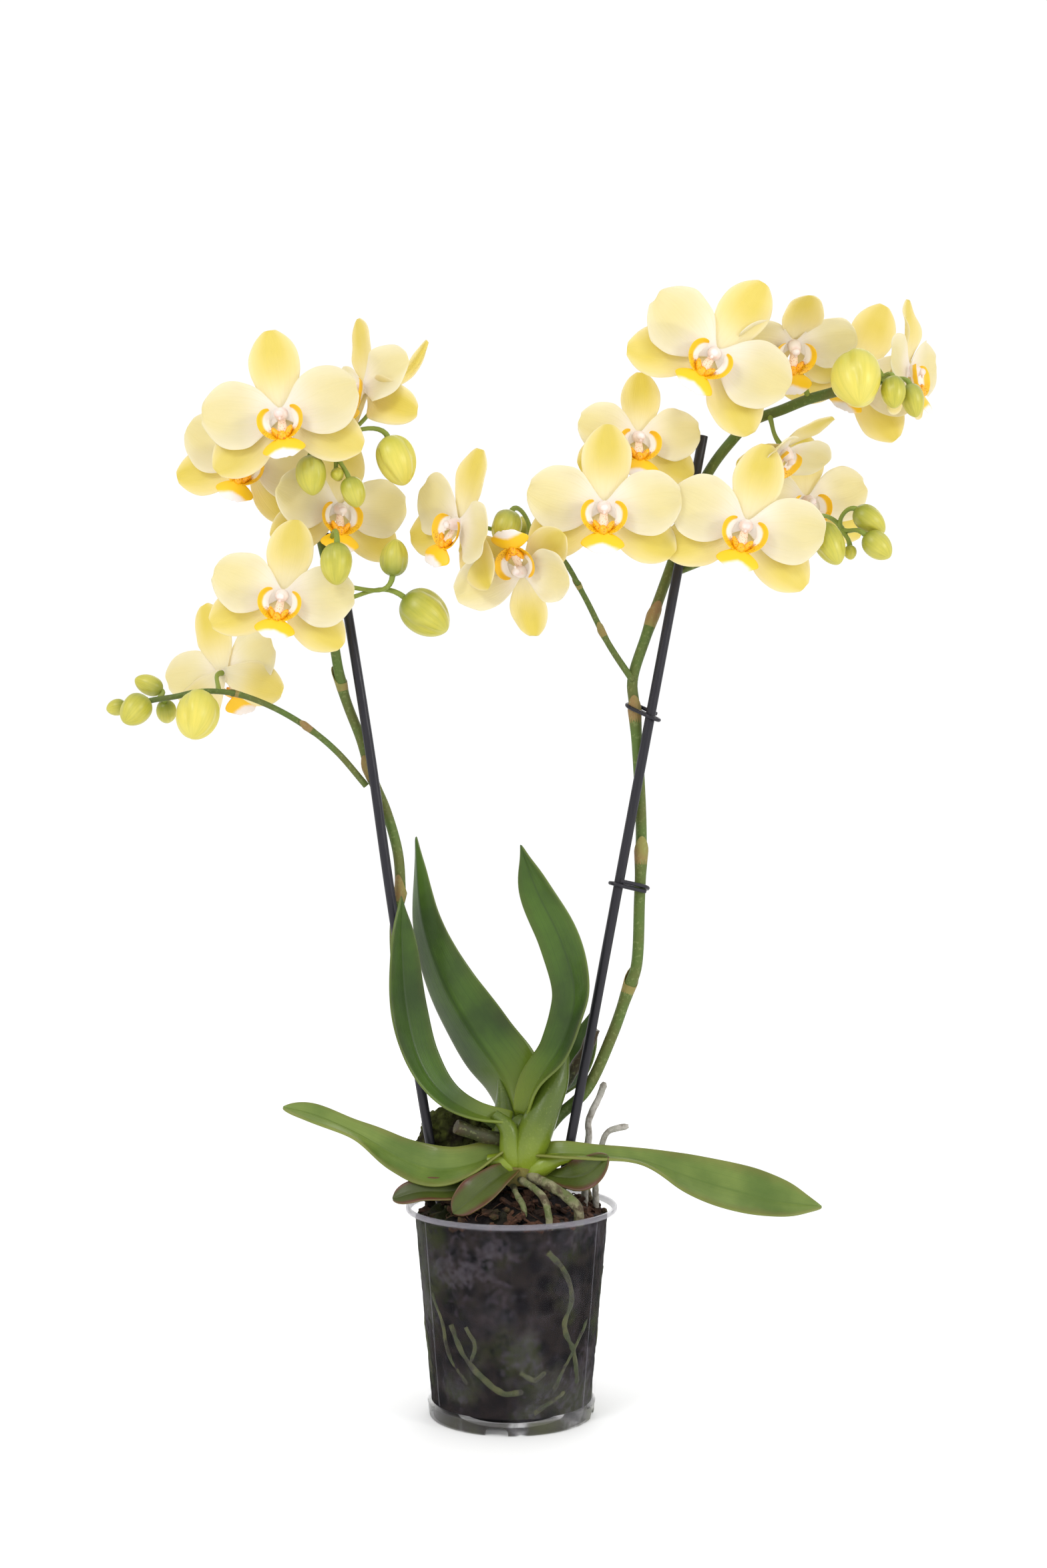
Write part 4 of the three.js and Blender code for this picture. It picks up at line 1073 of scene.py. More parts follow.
def shape_rows(piece, rows, width_at):
    """Resize each row of a blank blade about its middle."""
    only(piece)
    mode("EDIT")
    bpy.ops.mesh.select_mode(type="VERT")
    for y in [i / rows for i in range(rows + 1)]:
        select_row(piece, y)
        bpy.ops.transform.resize(value=(width_at(y), 1, 1), center_override=(0, y, 0))
    mode("OBJECT")
    return piece


def between(table, share):
    """A value from a table of (share, value) pairs, eased where the step is large."""
    for (a, low), (b, high) in zip(table, table[1:]):
        if share <= b:
            t = (share - a) / (b - a)
            eased = t * t * (3 - 2 * t) if abs(high - low) > 0.5 else t
            return low + (high - low) * eased
    return table[-1][1]


def curve_at(shares, values, share):
    """A smooth value at a share of a line, from the values at some of its shares."""
    k = max(i for i in range(len(shares) - 1) if shares[i] <= share or i == 0)
    a, b = shares[k], shares[k + 1]
    t = (share - a) / (b - a)

    def slope(i):
        lo, hi = max(0, i - 1), min(len(values) - 1, i + 1)
        return (values[hi] - values[lo]) / (shares[hi] - shares[lo]) * (b - a)

    one, two = values[k], values[k + 1]
    m1, m2 = slope(k), slope(k + 1)
    return (one * (2 * t**3 - 3 * t**2 + 1) + m1 * (t**3 - 2 * t**2 + t)
            + two * (3 * t**2 - 2 * t**3) + m2 * (t**3 - t**2))


print("half way from 2 to 4:", between([(0, 2), (1, 4)], 0.5))

# %% [markdown]
# ## Leaves
# A strap leaf is a thick blade, folded along its midrib and curving along its length. Each
# row of its grid is laid across the leaf's line, as wide as the table says and with its upper
# side facing the way that the table gives, which no single modifier can do for a line that
# twists. Solidify gives the blade its thickness, and Subdivision Surface its smooth skin.

# %% Leaves
LEAF_FOLD = 0.34  # how far a blade's sides rise from its midrib, as a share of its half width


def share_near(line, point):
    """The share of a line at which it comes nearest to a point."""
    gaps = [(p - Vector(point)).length for p in line]
    return gaps.index(min(gaps)) / (len(line) - 1)


def leaf_blade(name, stations, thickness):
    piece = blank_blade(name, 12, 34)
    points, widths, faces = zip(*stations)
    line = line_through(points, 0.5)
    last = len(line) - 1
    shares = [share_near(line, point) for point in points]
    faces = [Vector(face) for face in faces]
    lilt = points[1][0]  # starts each leaf's waves at another place
    for v in piece.data.vertices:
        u, s = v.co.x * 2, v.co.y
        i = round(s * last)
        tangent = (line[min(i + 3, last)] - line[max(i - 3, 0)]).normalized()
        side = tangent.cross(curve_at(shares, faces, s)).normalized()
        face = side.cross(tangent)
        tip = 1 - max(0, (s - 0.86) / 0.14) ** 2.2
        half = max(0.3, curve_at(shares, widths, s)) * max(0.02, tip) ** 0.5
        fold = LEAF_FOLD + 0.5 * max(0, 0.22 - s) / 0.22
        groove = 0.5 * math.exp(-((u / 0.09) ** 2)) * min(1, half / 6)
        rise = half * fold * (abs(u) ** 1.35) - groove
        wave = 0.9 * u * u * math.sin(s * 13 + lilt) * min(1, half / 10)
        point = line[i] + side * (u * half * (1 - 0.12 * fold)) + face * (rise + wave)
        v.co = mm(*point)
    return rounded(piece, thickness / 1000)


for name, stations in LEAVES.items():
    if "small" in name:
        thickness, slot, material = 1.3, "reddish_leaf", SMALL_LEAF
    else:
        thickness, slot, material = 1.8, "leaf", PALE_LEAF if "low" in name else LEAF
    piece = finish_piece(leaf_blade(name + "_blade", stations, thickness), material, [name])
    print(name, len(piece.data.polygons), "faces")

# %% [markdown]
# ## Sepals and petals
# A moth orchid has three sepals behind and two broad petals in front. Each is a thin sheet
# with its own outline: a petal is narrow at its foot and then nearly as wide as it is long,
# a sepal is an oval. The outline is made once, row by row, on a flat grid. Every copy is then
# cupped, bent and ruffled with its own noise, because no two petals of a plant are the same.

# %% Outlines of petals and sepals
PETAL_OUTLINE = [(0, 0.16), (0.06, 0.22), (0.14, 0.42), (0.24, 0.66), (0.36, 0.86),
    (0.48, 0.97), (0.6, 1.0), (0.72, 0.97), (0.83, 0.88), (0.91, 0.72), (0.96, 0.55), (1, 0.32)]
SEPAL_OUTLINE = [(0, 0.26), (0.1, 0.4), (0.22, 0.62), (0.35, 0.83), (0.5, 0.97), (0.62, 1.0),
    (0.74, 0.95), (0.84, 0.82), (0.91, 0.66), (0.96, 0.48), (1, 0.24)]


def outlined(name, outline, columns=12, rows=16):
    return shape_rows(blank_blade(name, columns, rows), rows, lambda y: between(outline, y))


petal_master = outlined("petal_outline", PETAL_OUTLINE)
sepal_master = outlined("sepal_outline", SEPAL_OUTLINE)


SHEET = 0.0007  # a petal's thickness


def tepal(master, name, size, angle, back, seed, cup, bend, wave=1.0, skew=0.0):
    """One sheet in a flower's own millimetres: it faces -Y and grows from the middle."""
    length, width = size
    piece = copy_of(master, name)
    turn = turned_by(angle, "Y")
    sag = 0.07 if master is sepal_master else 0.1
    for v in piece.data.vertices:
        u, s = v.co.x * 2, v.co.y
        x = u * width / 2 + skew * width * math.sin(math.pi * s)
        x *= 1 + 0.06 * noise.noise(Vector((s * 3.2 + seed, math.copysign(4, u), seed)))
        z = s * length - sag * length * u * u * s * s
        edge = max(abs(u) ** 3 * min(1, s * 2), max(0, s - 0.75) * 2)
        ruffle = noise.noise(Vector((u * 2.2 + seed, s * 3.1, seed * 1.7)))
        y = back - cup * u * u * math.sin(math.pi * min(1, s * 1.1)) - bend * s * s
        y += wave * (2.4 * edge * ruffle + 0.9 * ruffle)
        y += 0.55 * math.exp(-((u / 0.16) ** 2)) * s * (1.2 - s)
        z += 1.8 * wave * edge * noise.noise(Vector((u * 3.4 + seed, 3.3, s * 4)))
        v.co = turn @ Vector((x, y, z))
    return piece


print("outlines:", len(petal_master.data.vertices), "points each")

# %% [markdown]
# ## The lip and the column
# The lip is the third petal, shaped quite differently: two white side lobes stand up like
# cupped hands, with a golden rim, an orange callus sits between them, and a broad front lobe
# runs down and forward to a ragged white tip. The column, white with a pink blush, stands
# over it. These parts are modelled once and copied to each flower.


# %% Side lobes and front lobe
def lobe_master(side):
    """A side lobe, which stands up from the foot of the lip and curves in like a hand."""
    piece = blank_blade("side_lobe", 8, 12)
    middle = line_through([
        (1.6, -5.6, -14.6), (5.6, -6, -12.4), (9.0, -6, -8.4),
        (9.8, -5.6, -3.6), (8.0, -4.8, 0.6), (5.6, -4, 2.4),
    ], 0.25)
    widths = [(0, 3.4), (0.2, 5.2), (0.45, 6.6), (0.7, 6.8), (0.88, 5.2), (1, 1.6)]
    for v in piece.data.vertices:
        t, s = v.co.x, v.co.y
        centre = middle[round(s * (len(middle) - 1))]
        outward = Vector((centre.x - 1, 0, centre.z + 7)).normalized()
        point = centre + (outward * 0.95 + Vector((0, -0.35, 0))) * (t * between(widths, s))
        point.y -= 3.0 * (t + 0.5) ** 2 - 1.0
        point.y += 0.5 * noise.noise(point / 2)
        v.co = Vector((point.x * side, point.y, point.z))
    if side < 0:
        piece.data.flip_normals()
    return piece


def midlobe_master():
    """The front lobe, which runs down and forward to a ragged tip."""
    outline = [
        (0, 0.34), (0.08, 0.6), (0.18, 0.84), (0.32, 0.97), (0.45, 1.0),
        (0.58, 0.95), (0.72, 0.8), (0.86, 0.6), (1, 0.36),
    ]
    piece = outlined("front_lobe", outline, 14, 14)
    for v in piece.data.vertices:
        u, s = v.co.x * 2, v.co.y
        ragged = max(0, s - 0.6) * 5.5 * noise.noise(Vector((u * 6, s * 3, 4)))
        down = s * 13.0 + ragged
        drop = 2.6 * u * u
        y = -7.4 - 0.4 * down + drop * 0.9 - 1.2 * math.sin(s * 3)
        v.co = Vector((u * 12.2, y, -14.6 - 0.92 * down - drop * (1 - s)))
    return piece


print("the side lobes and the front lobe can be made")

# %% [markdown]
# The column, the callus and the throat are solid lumps. Each starts as a ball or a small
# grid, whose points are moved to its shape.


# %% Column, callus and throat
def ball(name, segments, place=(0, 0, 0), size=(1, 1, 1), lean=0):
    """A round start for what is shaped further, with its poles above and below."""
    rings = segments // 2 + 2
    piece = primitive("uv_sphere", name, segments=segments, ring_count=rings, radius=1)
    stretch = turned_by(lean, "Y", 4) @ Matrix.Diagonal((*size, 1))
    piece.data.transform(Matrix.Translation(place) @ stretch)
    return piece


def column_master():
    piece = ball("column", 24)
    for v in piece.data.vertices:
        along = (1 - v.co.y) / 2  # 0 at the back, 1 at the head
        wide = 3.0 + 1.8 * along + 0.5 * math.sin(6 * along)
        hollow = 0.0
        if abs(v.co.x) < 0.6:
            hollow = 1.6 * max(0, along - 0.7) / 0.3 * math.exp(-(((v.co.z + 0.5) / 0.35) ** 2))
        z = v.co.z * wide * 0.95 - 1.4 * along * along
        v.co = Vector((v.co.x * wide, 3.5 - 12 * along + hollow, z))
    cap = ball("cap", 16, (0, -8.4, -1.4), (2.6, 1.9, 2.2))
    beak = ball("beak", 12, (0, -8.3, -3.8), (0.9, 1.0, 1.3))
    return joined("column", [piece, cap, beak])


def callus_master():
    arms = [ball("arm", 18, (3.0 * k, -6.4, -11.8), (1.7, 1.8, 4.6), 36 * k) for k in (-1, 1)]
    lumps = [*arms, ball("keel", 18, (0, -7.6, -13.6), (2.6, 2.4, 3.0))]
    return joined("callus", [roughen(piece, 1.3, 0.35, 5) for piece in lumps])


def throat_master():
    throat = blank_blade("throat", 6, 8)
    for v in throat.data.vertices:
        u, s = v.co.x * 2, v.co.y
        v.co = Vector((u * (2.0 + 1.2 * s), -2.2 - 4.0 * s - 1.2 * (1 - u * u), -3 - 9.5 * s))
    throat.data.flip_normals()
    return throat


lip_parts = {
    "side_lobes": (rounded(joined("side_lobes", [lobe_master(1), lobe_master(-1)]), 0.5), LOBE),
    "front_lobe": (rounded(midlobe_master(), 0.7), MIDLOBE),
    "throat": (rounded(throat_master(), 0.4), THROAT),
    "callus": (callus_master(), CALLUS),
    "column": (column_master(), COLUMN),
}
for part in ("callus", "column"):
    smooth(lip_parts[part][0], 80)
print("lip parts:", {part: len(sheet.data.polygons) for part, (sheet, _) in lip_parts.items()})

# %% [markdown]
# ## The flowers
# Each flower is a set of sheets round its middle, turned to the way it faces. Most are open
# flat. Some differ: one nods, so its top sepal hangs over it like a hood, one is just opening,
# and some have a sheet bent back. Those differences are named in a small table.

# %% Flowers
REACH = 42  # millimetres from the middle to the end of a full petal
PETAL_TURN, SEPAL_TURN = 80, 121  # degrees from the top sepal
HABITS = {  # changes to a flower's sheets: dorsal, left and right sepal, left and right petal
    "flower_left_side": {
        "dorsal": {"bend": 6}, "petal_r": {"bend": -10, "cup": 4},
        "sepal_r": {"bend": -14, "cup": 9},
    },
    "flower_middle_left": {
        "dorsal": {"cup": 3}, "petal_r": {"bend": 9, "cup": 3}, "sepal_l": {"bend": 4},
    },
    "flower_middle_hanging": {
        "petal_l": {"bend": 15, "cup": 6}, "petal_r": {"bend": 17, "cup": 7},
        "sepal_r": {"bend": 9}, "sepal_l": {"bend": 9},
    },
    "flower_right_nodding": {
        "dorsal": {"bend": 24, "cup": 9}, "petal_l": {"bend": 12, "cup": 6},
        "petal_r": {"bend": 2},
    },
    "flower_right_end": {"petal_r": {"bend": 4}, "dorsal": {"bend": 2, "cup": 6}},
    "flower_right_side": {"petal_l": {"bend": 10}, "petal_r": {"bend": 10}, "dorsal": {"bend": 9}},
    "flower_left_low": {"petal_l": {"bend": 6}, "dorsal": {"bend": -2}},
    "flower_right_top": {"sepal_l": {"cup": 3}, "petal_l": {"wave": 1.5}},
    "flower_left_back": {"petal_l": {"bend": -4}, "petal_r": {"bend": -4}},
}


def placed(middle, turn):
    """From a flower's or bud's own millimetres to its place in the frame."""
    return Matrix.Translation(mm(*middle)) @ turn.to_4x4() @ Matrix.Scale(0.001, 4)


def sheets_of(name, reach):
    """A flower's two petals and three sepals, in its own millimetres."""
    habits = HABITS.get(name, {})
    seed = sum(map(ord, name)) % 97
    petals, sepals = [], []
    for k, (part, side) in enumerate([("petal_l", -1), ("petal_r", 1)]):
        settings = {"cup": 2.2, "bend": 1.5, "skew": 0.035 * side, "seed": seed + k}
        settings.update(habits.get(part, {}))
        size = (reach * 1.02, reach * 0.88)
        back = -0.4 - 0.5 * k
        petals.append(tepal(petal_master, part, size, PETAL_TURN * side, back, **settings))
    for k, (part, side) in enumerate([("dorsal", 0), ("sepal_l", -1), ("sepal_r", 1)]):
        settings = {"cup": 1.6, "bend": -0.5 if side else 0.5, "wave": 0.6, "seed": seed + 5 + k}
        settings.update(habits.get(part, {}))
        size = (reach * 1.1, reach * 0.7) if side else (reach * 1.09, reach * 0.67)
        back = 1.5 + 0.5 * k
        sepals.append(tepal(sepal_master, part, size, SEPAL_TURN * side, back, **settings))
    return ("petals", petals, PETAL), ("sepals", sepals, SEPAL)


def flower(name, middle, turned, share):
    place = placed(middle, facing(*turned))
    made = []
    for kind, sheets, material in sheets_of(name, REACH * share):
        piece = joined(f"{name}_{kind}", sheets)
        piece.data.transform(place)
        made.append(finish_piece(rounded(piece, SHEET), material, [name]))
    grown = 0.94 if share < 1 else 1.0
    for part, (sheet, material) in lip_parts.items():
        piece = copy_of(sheet, f"{name}_{part}")
        piece.data.transform(place @ Matrix.Scale(grown, 4))
        made.append(finish_piece(piece, material, [name]))
    return made


# One flower has a narrow sepal that is swept back.
loose = tepal(sepal_master, "flower_left_side_loose", (54, 8), 50, 0, 3, 3, -4, skew=0.75)
loose.data.transform(placed((-82, -9, 458), turned_by(29, "Z")))
finish_piece(rounded(loose, SHEET), SEPAL, ["flower_left_side"])
for name, (middle, turned, share, *_) in FLOWERS.items():
    made = flower(name, middle, turned, share)
    low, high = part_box(name)
    print(name, len(made), "pieces; its solid is", [round(v * 1000) for v in high - low], "mm")
for piece in [petal_master, sepal_master, *[sheet for sheet, _ in lip_parts.values()]]:
    bpy.data.objects.remove(piece)

# %% [markdown]
# ## Buds
# A bud is a closed egg of three sepals, each of which laps over the next, so three shallow
# steps spiral from stalk to tip. A sphere has the right UV map for it: u goes round and v
# from stalk to tip. Its points are pulled to the egg's outline and to the steps.


# %% Buds
def bud(name, middle, tip, size, lap):
    length, width = size
    piece = ball(name, 30)
    for v in piece.data.vertices:
        h = (v.co.z + 1) / 2
        angle = math.atan2(v.co.y, v.co.x)
        egg = max(0, 1 - abs(2 * max(0, min(1, h)) ** 0.84 - 1) ** 2.1) ** 0.6
        third = ((angle + 0.5 * h) * 3 / (2 * math.pi)) % 1
        seam = math.exp(-((min(third, 1 - third) / 0.07) ** 2))
        radius = egg * (1 + lap * (third - 0.5) - lap * 0.9 * seam) * width / 2
        v.co = Vector((radius * math.cos(angle), radius * math.sin(angle), h * length))
    turn = Vector(tip).normalized().to_track_quat("Z", "Y").to_matrix()
    piece.data.transform(placed(bud_base(middle, tip, size), turn))
    return rounded(piece)


for name, (middle, tip, size, _) in BUDS.items():
    opening = name.endswith("opening") or name == "bud_left_inner"
    piece = bud(name + "_shut", middle, tip, size, 0.18 if opening else 0.13)
    finish_piece(piece, OPENING_BUD if opening else BUD, [name])
GROWN = 1.06  # the small buds cover the solid ones that belong to the stems
parts = []
for i, (middle, tip, (length, width), _) in enumerate(SMALL_BUDS):
    parts.append(bud(f"small_{i}", middle, tip, (length * GROWN, width * GROWN), 0.08))
finish_piece(joined("small_buds", parts), BUD)
print(len(BUDS) + len(SMALL_BUDS), "buds")

# %% [markdown]
# ## Crown
# All the leaves grow from one short crown, where each leaf foot clasps the next. It is
# smooth, pale yellow-green, and brown and papery at the very bottom. A sphere is drawn out to
# the crown's height and given soft folds for the clasping leaf feet.


# %% Crown
def crown():
    piece = ball("crown_body", 32)
    outline = [
        (0, 0.5), (0.08, 0.86), (0.2, 0.98), (0.5, 0.98), (0.75, 0.84), (0.9, 0.66), (1, 0.2),
    ]
    for v in piece.data.vertices:
        h = (v.co.z + 1) / 2
        angle = math.atan2(v.co.y, v.co.x)
        ring = math.hypot(v.co.x, v.co.y)
        fold = 1 + 0.09 * math.sin(2 * angle + 2.6 * h) + 0.04 * math.sin(5 * angle + 4 * h)
        radius = between(outline, h) * fold * min(1, ring * 3)
        v.co = mm(6 + 11 * radius * math.cos(angle), 9 * radius * math.sin(angle), 9 + 42 * h)
    return rounded(piece)


# %% [markdown]
# The leaves' own feet stand round the crown, thick and clasping. Each is a rod on a short line
# that swells in its middle. They share the crown's finish, which turns by height from brown
# through yellow-green to leaf green.


# %% The clasping leaf feet
def sheath_finish():
    """Yellow-green at the bottom, leaf green higher up, with faint pale dots."""
    f = Finish("young_leaf", Coat_Weight=0.12, Coat_Roughness=0.22, Specular_IOR_Level=0.4)
    height = (f.across(f.place, 2) - RIM) * 1000
    cloud = f.noise(60.0, 4.0)
    dots = f.noise(700.0, 2.0)
    colour = f.mix((height + cloud * 22).above(48, 20), tone(126, 144, 36), tone(76, 94, 28))
    colour = f.mix(1 - (height + cloud * 8).above(20, 5), colour, tone(104, 76, 54))
    colour = f.mix(dots.above(0.64, 0.08) * 0.2, colour, tone(142, 154, 74))
    f.bump(dots + cloud, 0.25, 0.0006)
    return f.done(colour, roughness=cloud * 0.2 + 0.24)


YOUNG = sheath_finish()
FEET = {  # points, and half of the width at each
    "foot_tall_right": [((8, -3, 12), 6), ((8, -5, 24), 9.5), ((13, -7, 41), 10),
        ((20, -6, 58), 8.6), ((26, -3, 72), 7), ((31, 0, 86), 2)],
    "foot_tall_left": [((4, 4, 12), 6), ((-2, 5, 30), 8.5), ((-4, 9, 46), 8), ((-5, 14, 58), 5),
        ((-7, 18, 68), 1)],
    "foot_front_left": [((4, -6, 16), 4), ((0, -8, 30), 6.5), ((-2, -9, 44), 5.5),
        ((-10, -8, 52), 3)],
    "foot_low_left": [((4, -6, 14), 4), ((-3, -8, 24), 5.5), ((-14, -8, 26), 3.4)],
    "foot_low_right": [((8, -6, 14), 4), ((14, -9, 21), 6), ((26, -11, 27), 3.6),
        ((40, -12, 29), 2)],
}
feet = []
for name, stations in FEET.items():
    points, widths = zip(*stations)
    line = line_through(points, 1.5)
    shares = [i / (len(stations) - 1) for i in range(len(stations))]
    radii = [max(1, curve_at(shares, widths, i / (len(line) - 1))) for i in range(len(line))]
    feet.append(rod(name, line, radii, 8))
finish_piece(joined("leaf_feet", feet), YOUNG)
finish_piece(crown(), YOUNG, ["crown"])
master = bract_master()
upright = line_through([(6, 0, 9), (6, 0, 30)])
scale = placed_bract(master, "crown_scale", upright, 0.1, 11.5, 9, 1.2)
finish_piece(roughen(scale, 0.006, 0.0012), BRACT)
bpy.data.objects.remove(master)

# %% [markdown]
# ## The pot
# The pot is blown or moulded in one thin wall, so it is modelled as its own section: a line
# of points up the outside, over the lip, down the inside and under the floor. Spinning that
# section once round the axis closes it, and doubles on the seam are merged. Four arched
# notches are then cut through the foot with a Boolean modifier, as the mould does.

# %% Pot
def outside(*heights):
    return [(pot_radius(z), z) for z in heights]


def inside(*heights):
    return [(pot_radius(z) - WALL, z) for z in heights]


RIDGE = 0.35  # the ridge round the foot stands out by this
POT_SECTION = [
    (43.6, 0.3), (44.2, 0), (45.8, 0), (46.4, 0.4), *outside(2, 7.2),
    (pot_radius(7.6) + RIDGE, 7.7), (pot_radius(8.2) + RIDGE, 8.3), (pot_radius(8.8), 8.9),
    *outside(30, 60, 90, 114.6), (57.5, 115.2), (59.3, 115.4), (59.9, 115.9), (60, 116.8),
    (59.7, 117.6), (59.0, 118), (57.8, 117.8), (56.4, 116.6), *inside(114, 90, 60, 30, 8.3),
    (30.3, 8.3), (29, WALL), (0, WALL), (0, 0), (30.3, 0), (31.6, 7), (43.5, 7), (43.6, 0.3),
]


def spun(name, section, steps=96):
    """A section in the XZ plane, in millimetres from the table, spun round the axis."""
    mesh = bpy.data.meshes.new(name)
    points = [(x / 1000, 0, z / 1000) for x, z in section]
    mesh.from_pydata(points, [(i, i + 1) for i in range(len(points) - 1)], [])
    piece = bpy.data.objects.new(name, mesh)
    bpy.context.collection.objects.link(piece)
    only(piece)
    mode("EDIT")
    bpy.ops.mesh.select_all(action="SELECT")
    bpy.ops.mesh.spin(steps=steps, angle=2 * math.pi, center=(0, 0, 0), axis=(0, 0, 1))
    bpy.ops.mesh.select_all(action="SELECT")
    bpy.ops.mesh.remove_doubles(threshold=0.00001)
    bpy.ops.mesh.normals_make_consistent(inside=False)
    mode("OBJECT")
    return piece


def notch_cutter(turn):
    """An arch through the foot: a box whose two upper long edges are bevelled round."""
    piece = primitive("cube", "notch", size=1)
    mode("EDIT")
    mesh = bmesh.from_edit_mesh(piece.data)
    for edge in mesh.edges:
        one, other = edge.verts
        edge.select_set(one.co.z > 0 and other.co.z > 0 and one.co.x * other.co.x > 0)
    bmesh.update_edit_mesh(piece.data)
    bpy.ops.transform.translate(value=(0, 0, 0.1))
    bpy.ops.mesh.bevel(offset=0.3, segments=5, affect="EDGES")
    mode("OBJECT")
    size = Matrix.Diagonal((0.013, 0.030, 0.0112, 1))
    at_foot = Matrix.Translation((0, -0.0475, -0.0012))
    piece.data.transform(turned_by(turn, "Z", 4) @ at_foot @ size)
    return piece


pot = spun("pot_shell", POT_SECTION)
for turn in (-10, 80, 170, 260):
    cutter = notch_cutter(turn)
    modify(pot, "BOOLEAN", operation="DIFFERENCE", object=cutter, solver="EXACT")
    bpy.data.objects.remove(cutter)
smooth(pot, 40)
finish_piece(pot, CLEAR, ["pot"])
RIM_SECTION = [
    (57.2, 114.8), (59.5, 115.1), (60.0, 116), (59.9, 117.3), (59.2, 118),
    (58, 117.9), (58.7, 117), (58.5, 115.9), (57.2, 114.8),
]
seams = []
for k, turn in enumerate([-57, 57, 123, -123]):  # where the halves of the mould meet
    line = [Vector(on_wall(turn, share, -1.35)) for share in (0.08, 0.3, 0.6, 0.97)]
    seams.append(rod(f"seam_{k}", line, [0.22] * 4, 3))
finish_piece(joined("pot_seams", seams), CLEAR_RIM)
rim = spun("pot_rim", RIM_SECTION)
smooth(rim, 80)
finish_piece(rim, CLEAR_RIM)

# %% [markdown]
# ## Bark mix
# Inside the wall the mix is a packed mass with a lumpy skin. It is spun like the pot, a
# little inside the wall, and its skin is pushed inwards by noise, so that it never cuts
# through the plastic. Its top is lumpier and rises to a mound round the crown.


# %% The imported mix
def mix_body():
    section = [(0, 1.9), (28, 1.9), (29.6, 9)]
    section += [(pot_radius(z) - WALL - 0.6, z) for z in range(9, 112, 2)]
    section += [
        (54, 112.5), (50, 113.2), (46, 114.5), (42, 116), (38, 118), (33, 120),
        (28, 122), (22, 124), (16, 125), (10, 125.6), (5, 126), (0, 126),
    ]
    piece = spun("mix_body", section, 144)
    piece.data.update()
    moves = []
    for v in piece.data.vertices:
        lump = noise.fractal(v.co * 120, 0.9, 2.1, 3)
        fine = noise.noise(v.co * 600)
        if v.co.z > 0.1125:  # the open top
            depth = 0.0034 * lump + 0.0008 * fine
        elif v.co.z > 0.009:  # the side
            depth = -abs(0.0009 * lump + 0.0004 * fine)
        else:  # the flat bottom
            depth = 0
        moves.append(v.normal * depth)
    for v, move in zip(piece.data.vertices, moves):
        v.co += move
    smooth(piece, 70)
    return piece


mix = finish_piece(mix_body(), DAMP_MIX, ["potting_mix"])
print("mix:", len(mix.data.polygons), "faces")

# %% [markdown]
# On top of the mix lie loose chips of bark and fine brown fibres. A chip is a box with its
# edges bevelled, modelled once. Each copy is stretched, tumbled and roughened on its own.

# %% Chips and fibres
INNER = 52  # chips and fibres stay this near to the pot's axis
CHIPS, FIBRES = 260, 90


def mound(x, y):
    """Height of the mix above the rim, in millimetres."""
    table = [(0, 8), (16, 7), (28, 4), (38, 0), (46, -3.5), (54, -6)]
    return between(table, min(math.hypot(x, y), 54))


def chip_master():
    piece = primitive("cube", "chip", size=1)
    mode("EDIT")
    bpy.ops.mesh.bevel(offset=0.16, segments=1, affect="EDGES")
    mode("OBJECT")
    return piece


rng = random.Random(SEED)
master = chip_master()
chips = []
for i in range(CHIPS):
    angle, r = rng.uniform(0, 2 * math.pi), INNER * math.sqrt(rng.random())
    x, y = r * math.cos(angle), r * math.sin(angle)
    if math.hypot((x - 6) / 12, y / 9) < 1:  # the crown stands there
        continue
    chip = copy_of(master, f"chip_{i}")
    size = [rng.uniform(low, high) / 1000 for low, high in ((3, 8.5), (2.5, 5.5), (1.4, 3.2))]
    turn = Matrix.Rotation(rng.uniform(0, 6.3), 4, "Z")
    for axis in "XY":
        turn = turn @ Matrix.Rotation(rng.uniform(-0.6, 0.6), 4, axis)
    lift = mound(x, y) + rng.uniform(-0.6, 2.0)
    chip.data.transform(Matrix.Translation(mm(x, y, lift)) @ turn @ Matrix.Diagonal((*size, 1)))
    chips.append(roughen(chip, 0.003, 0.0007, i))
bark = joined("bark_chips", chips)
smooth(bark, 25)
finish_piece(bark, BARK)
bpy.data.objects.remove(master)

fibres = []
for i in range(FIBRES):
    angle, r = rng.uniform(0, 2 * math.pi), rng.uniform(28, 51)
    x, y = r * math.cos(angle), r * math.sin(angle)
    points = [(x, y, mound(x, y))]
    heading = rng.uniform(0, 6.3)
    for _ in range(3):
        heading += rng.uniform(-1, 1)
        x, y = x + 4 * math.cos(heading), y + 4 * math.sin(heading)
        pull = min(1, INNER / math.hypot(x, y))
        x, y = x * pull, y * pull
        points.append((x, y, mound(x, y) + rng.uniform(0.5, 4)))
    line = line_through(points, 2.5)
    fibres.append(rod(f"fibre_{i}", line, [0.28] * (len(line) - 1) + [0.1], 1))
finish_piece(joined("bark_fibres", fibres), BARK)
print(len(chips), "chips and", len(fibres), "fibres on the mix")

# %% [markdown]
# ## Moss block
# A torn lump of peat and moss stands behind the left leaves, round the left stake. It is a
# subdivided ball, drawn to its solid's box, and pushed into lumps by noise at two sizes.
# Short tufts stick out of its front and back.


# %% Moss
def moss_block():
    low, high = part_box("moss_block")
    middle, half = (low + high) / 2, (high - low) / 2
    piece = primitive("ico_sphere", "moss_lump", subdivisions=6, radius=1)
    for v in piece.data.vertices:
        boxy = Vector([math.copysign(abs(c) ** 0.62, c) for c in v.co])
        wide = 1 - 0.16 * max(0, boxy.z) - 0.1 * max(0, -boxy.z)
        v.co = middle + boxy * half * Vector((wide, wide, 0.94))
    roughen(piece, 0.011, 0.0034, 3)
    roughen(piece, 0.0024, 0.0011, 4)
    smooth(piece, 60)
    return piece


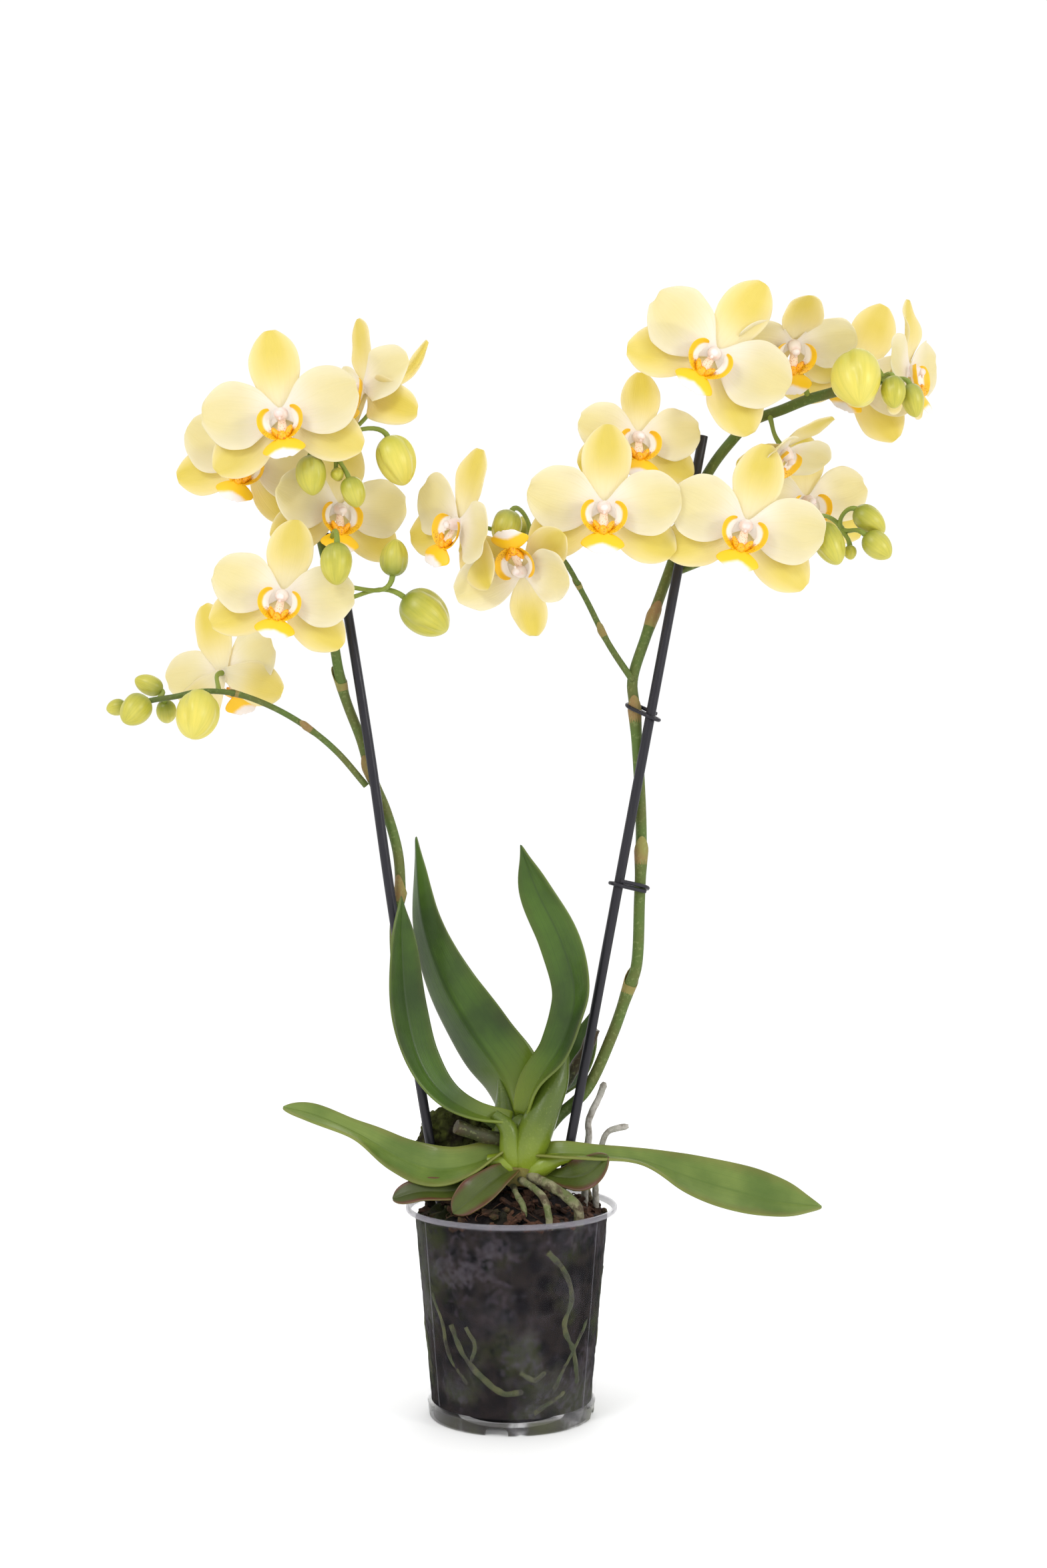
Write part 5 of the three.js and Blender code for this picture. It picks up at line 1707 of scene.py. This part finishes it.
finish_piece(moss_block(), MOSS, ["moss_block"])
TUFTS = 120
tufts = []
low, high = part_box("moss_block")
for i in range(TUFTS):
    start = Vector([rng.uniform(a * 1000 + 4, b * 1000 - 4) for a, b in zip(low, high)])
    start.z -= POT_HEIGHT
    side = rng.choice([-1, 1])
    start.y = (low.y if side < 0 else high.y) * 1000 - side * 2.5
    lean = Vector((rng.uniform(-2, 2), side * rng.uniform(0.5, 2), rng.uniform(-1, 3.5)))
    line = [start, start + lean * 0.6, start + lean + Vector((0, 0, -0.6))]
    tufts.append(rod(f"tuft_{i}", line, [0.4, 0.3, 0.1], 1))
finish_piece(joined("moss_tufts", tufts), MOSS)
print("moss:", len(tufts), "tufts")

# %% [markdown]
# ## Clips
# Each clip is an open ring of springy black rod, bent a little more than once round the stake
# and the stem, so its two ends pass each other in front. One more shows only as a short arm
# near the top of the right stake.


# %% Clips
CLIP_ROD = 1.15  # radius of the rod
CLIP_RING = 4.4  # radius of the ring's two rounded ends
CLIPS = {  # stake, spike, height, how many degrees the ring tilts
    "clip_right_high": ("stake_right", "spike_right", 279, 22),
    "clip_right_low": ("stake_right", "spike_right", 180, 12),
    "clip_left": ("stake_left", "spike_left", 379, 10),
}


def at_height(name, height):
    return min(LINES[name], key=lambda p: abs(p.z - height))


def clip(name, stake, spike, height, tilt):
    rod_at, stem_at = at_height(stake, height), at_height(spike, height)
    apart = stem_at - rod_at
    apart.z = 0
    along = apart.normalized()
    across = Vector((-along.y, along.x, 0))
    points = []
    for i in range(38):
        turn = math.radians(-82 - 10.2 * i)
        end = stem_at if math.cos(turn) > 0 else rod_at
        outward = along * math.cos(turn) + across * math.sin(turn)
        place = Vector((end.x, end.y, height)) + outward * CLIP_RING
        slope = ((place - rod_at).dot(along) - apart.length / 2) * math.tan(math.radians(tilt))
        place.z += 2.8 * i / 37 - 1.4 - slope * math.copysign(1, apart.x)
        points.append(place)
    points = line_through(points, 1.2)
    return rod(name + "_loops", points, [CLIP_ROD] * len(points), 5)


for name, settings in CLIPS.items():
    finish_piece(clip(name, *settings), BLACK, [name])
arm = line_through([(96.5, 1, 411.5), (99.5, 2, 407.5), (103, 4, 403)], 1.5)
finish_piece(rod("clip_arm", arm, [1.1] * len(arm), 5), BLACK)
print("clips:", list(CLIPS))

# %% [markdown]
# ## Room and light
# A white floor, bright even light from all round, and soft lights from the upper left front
# and the right, as for a catalogue. The petals need light from behind too, so that they look
# thin.


# %% Floor, lights and world
def soft_light(name, place, look_at, size, power):
    data = bpy.data.lights.new(name, "AREA")
    data.shape = "DISK"
    data.size = size
    data.energy = power
    lamp = bpy.data.objects.new(name, data)
    lamp.location = place
    lamp.rotation_mode = "QUATERNION"
    lamp.rotation_quaternion = (Vector(look_at) - Vector(place)).to_track_quat("-Z", "Y")
    bpy.context.collection.objects.link(lamp)


floor = primitive("plane", "floor", size=60)
paper = Finish("paper", roughness=0.9)
floor.data.materials.append(paper.done((1, 1, 1, 1)))
soft_light("key", (-0.9, -1.3, 1.5), (0, 0, 0.35), 0.6, 9)
soft_light("fill", (1.3, -1.0, 0.8), (0, 0, 0.4), 0.45, 6)
soft_light("back", (0.3, 1.4, 1.0), (0, 0, 0.45), 1.2, 6)
world = bpy.data.worlds.new("studio")
world.use_nodes = True
sky = world.node_tree.nodes["Background"].inputs
sky["Color"].default_value = (1, 1, 1, 1)
sky["Strength"].default_value = 1.04
bpy.context.scene.world = world
bpy.context.scene.view_settings.view_transform = "Standard"
print("lights are on")

# %% [markdown]
# Last, the scene is brought up to date, so that every piece stands in its place.

bpy.context.view_layer.update()
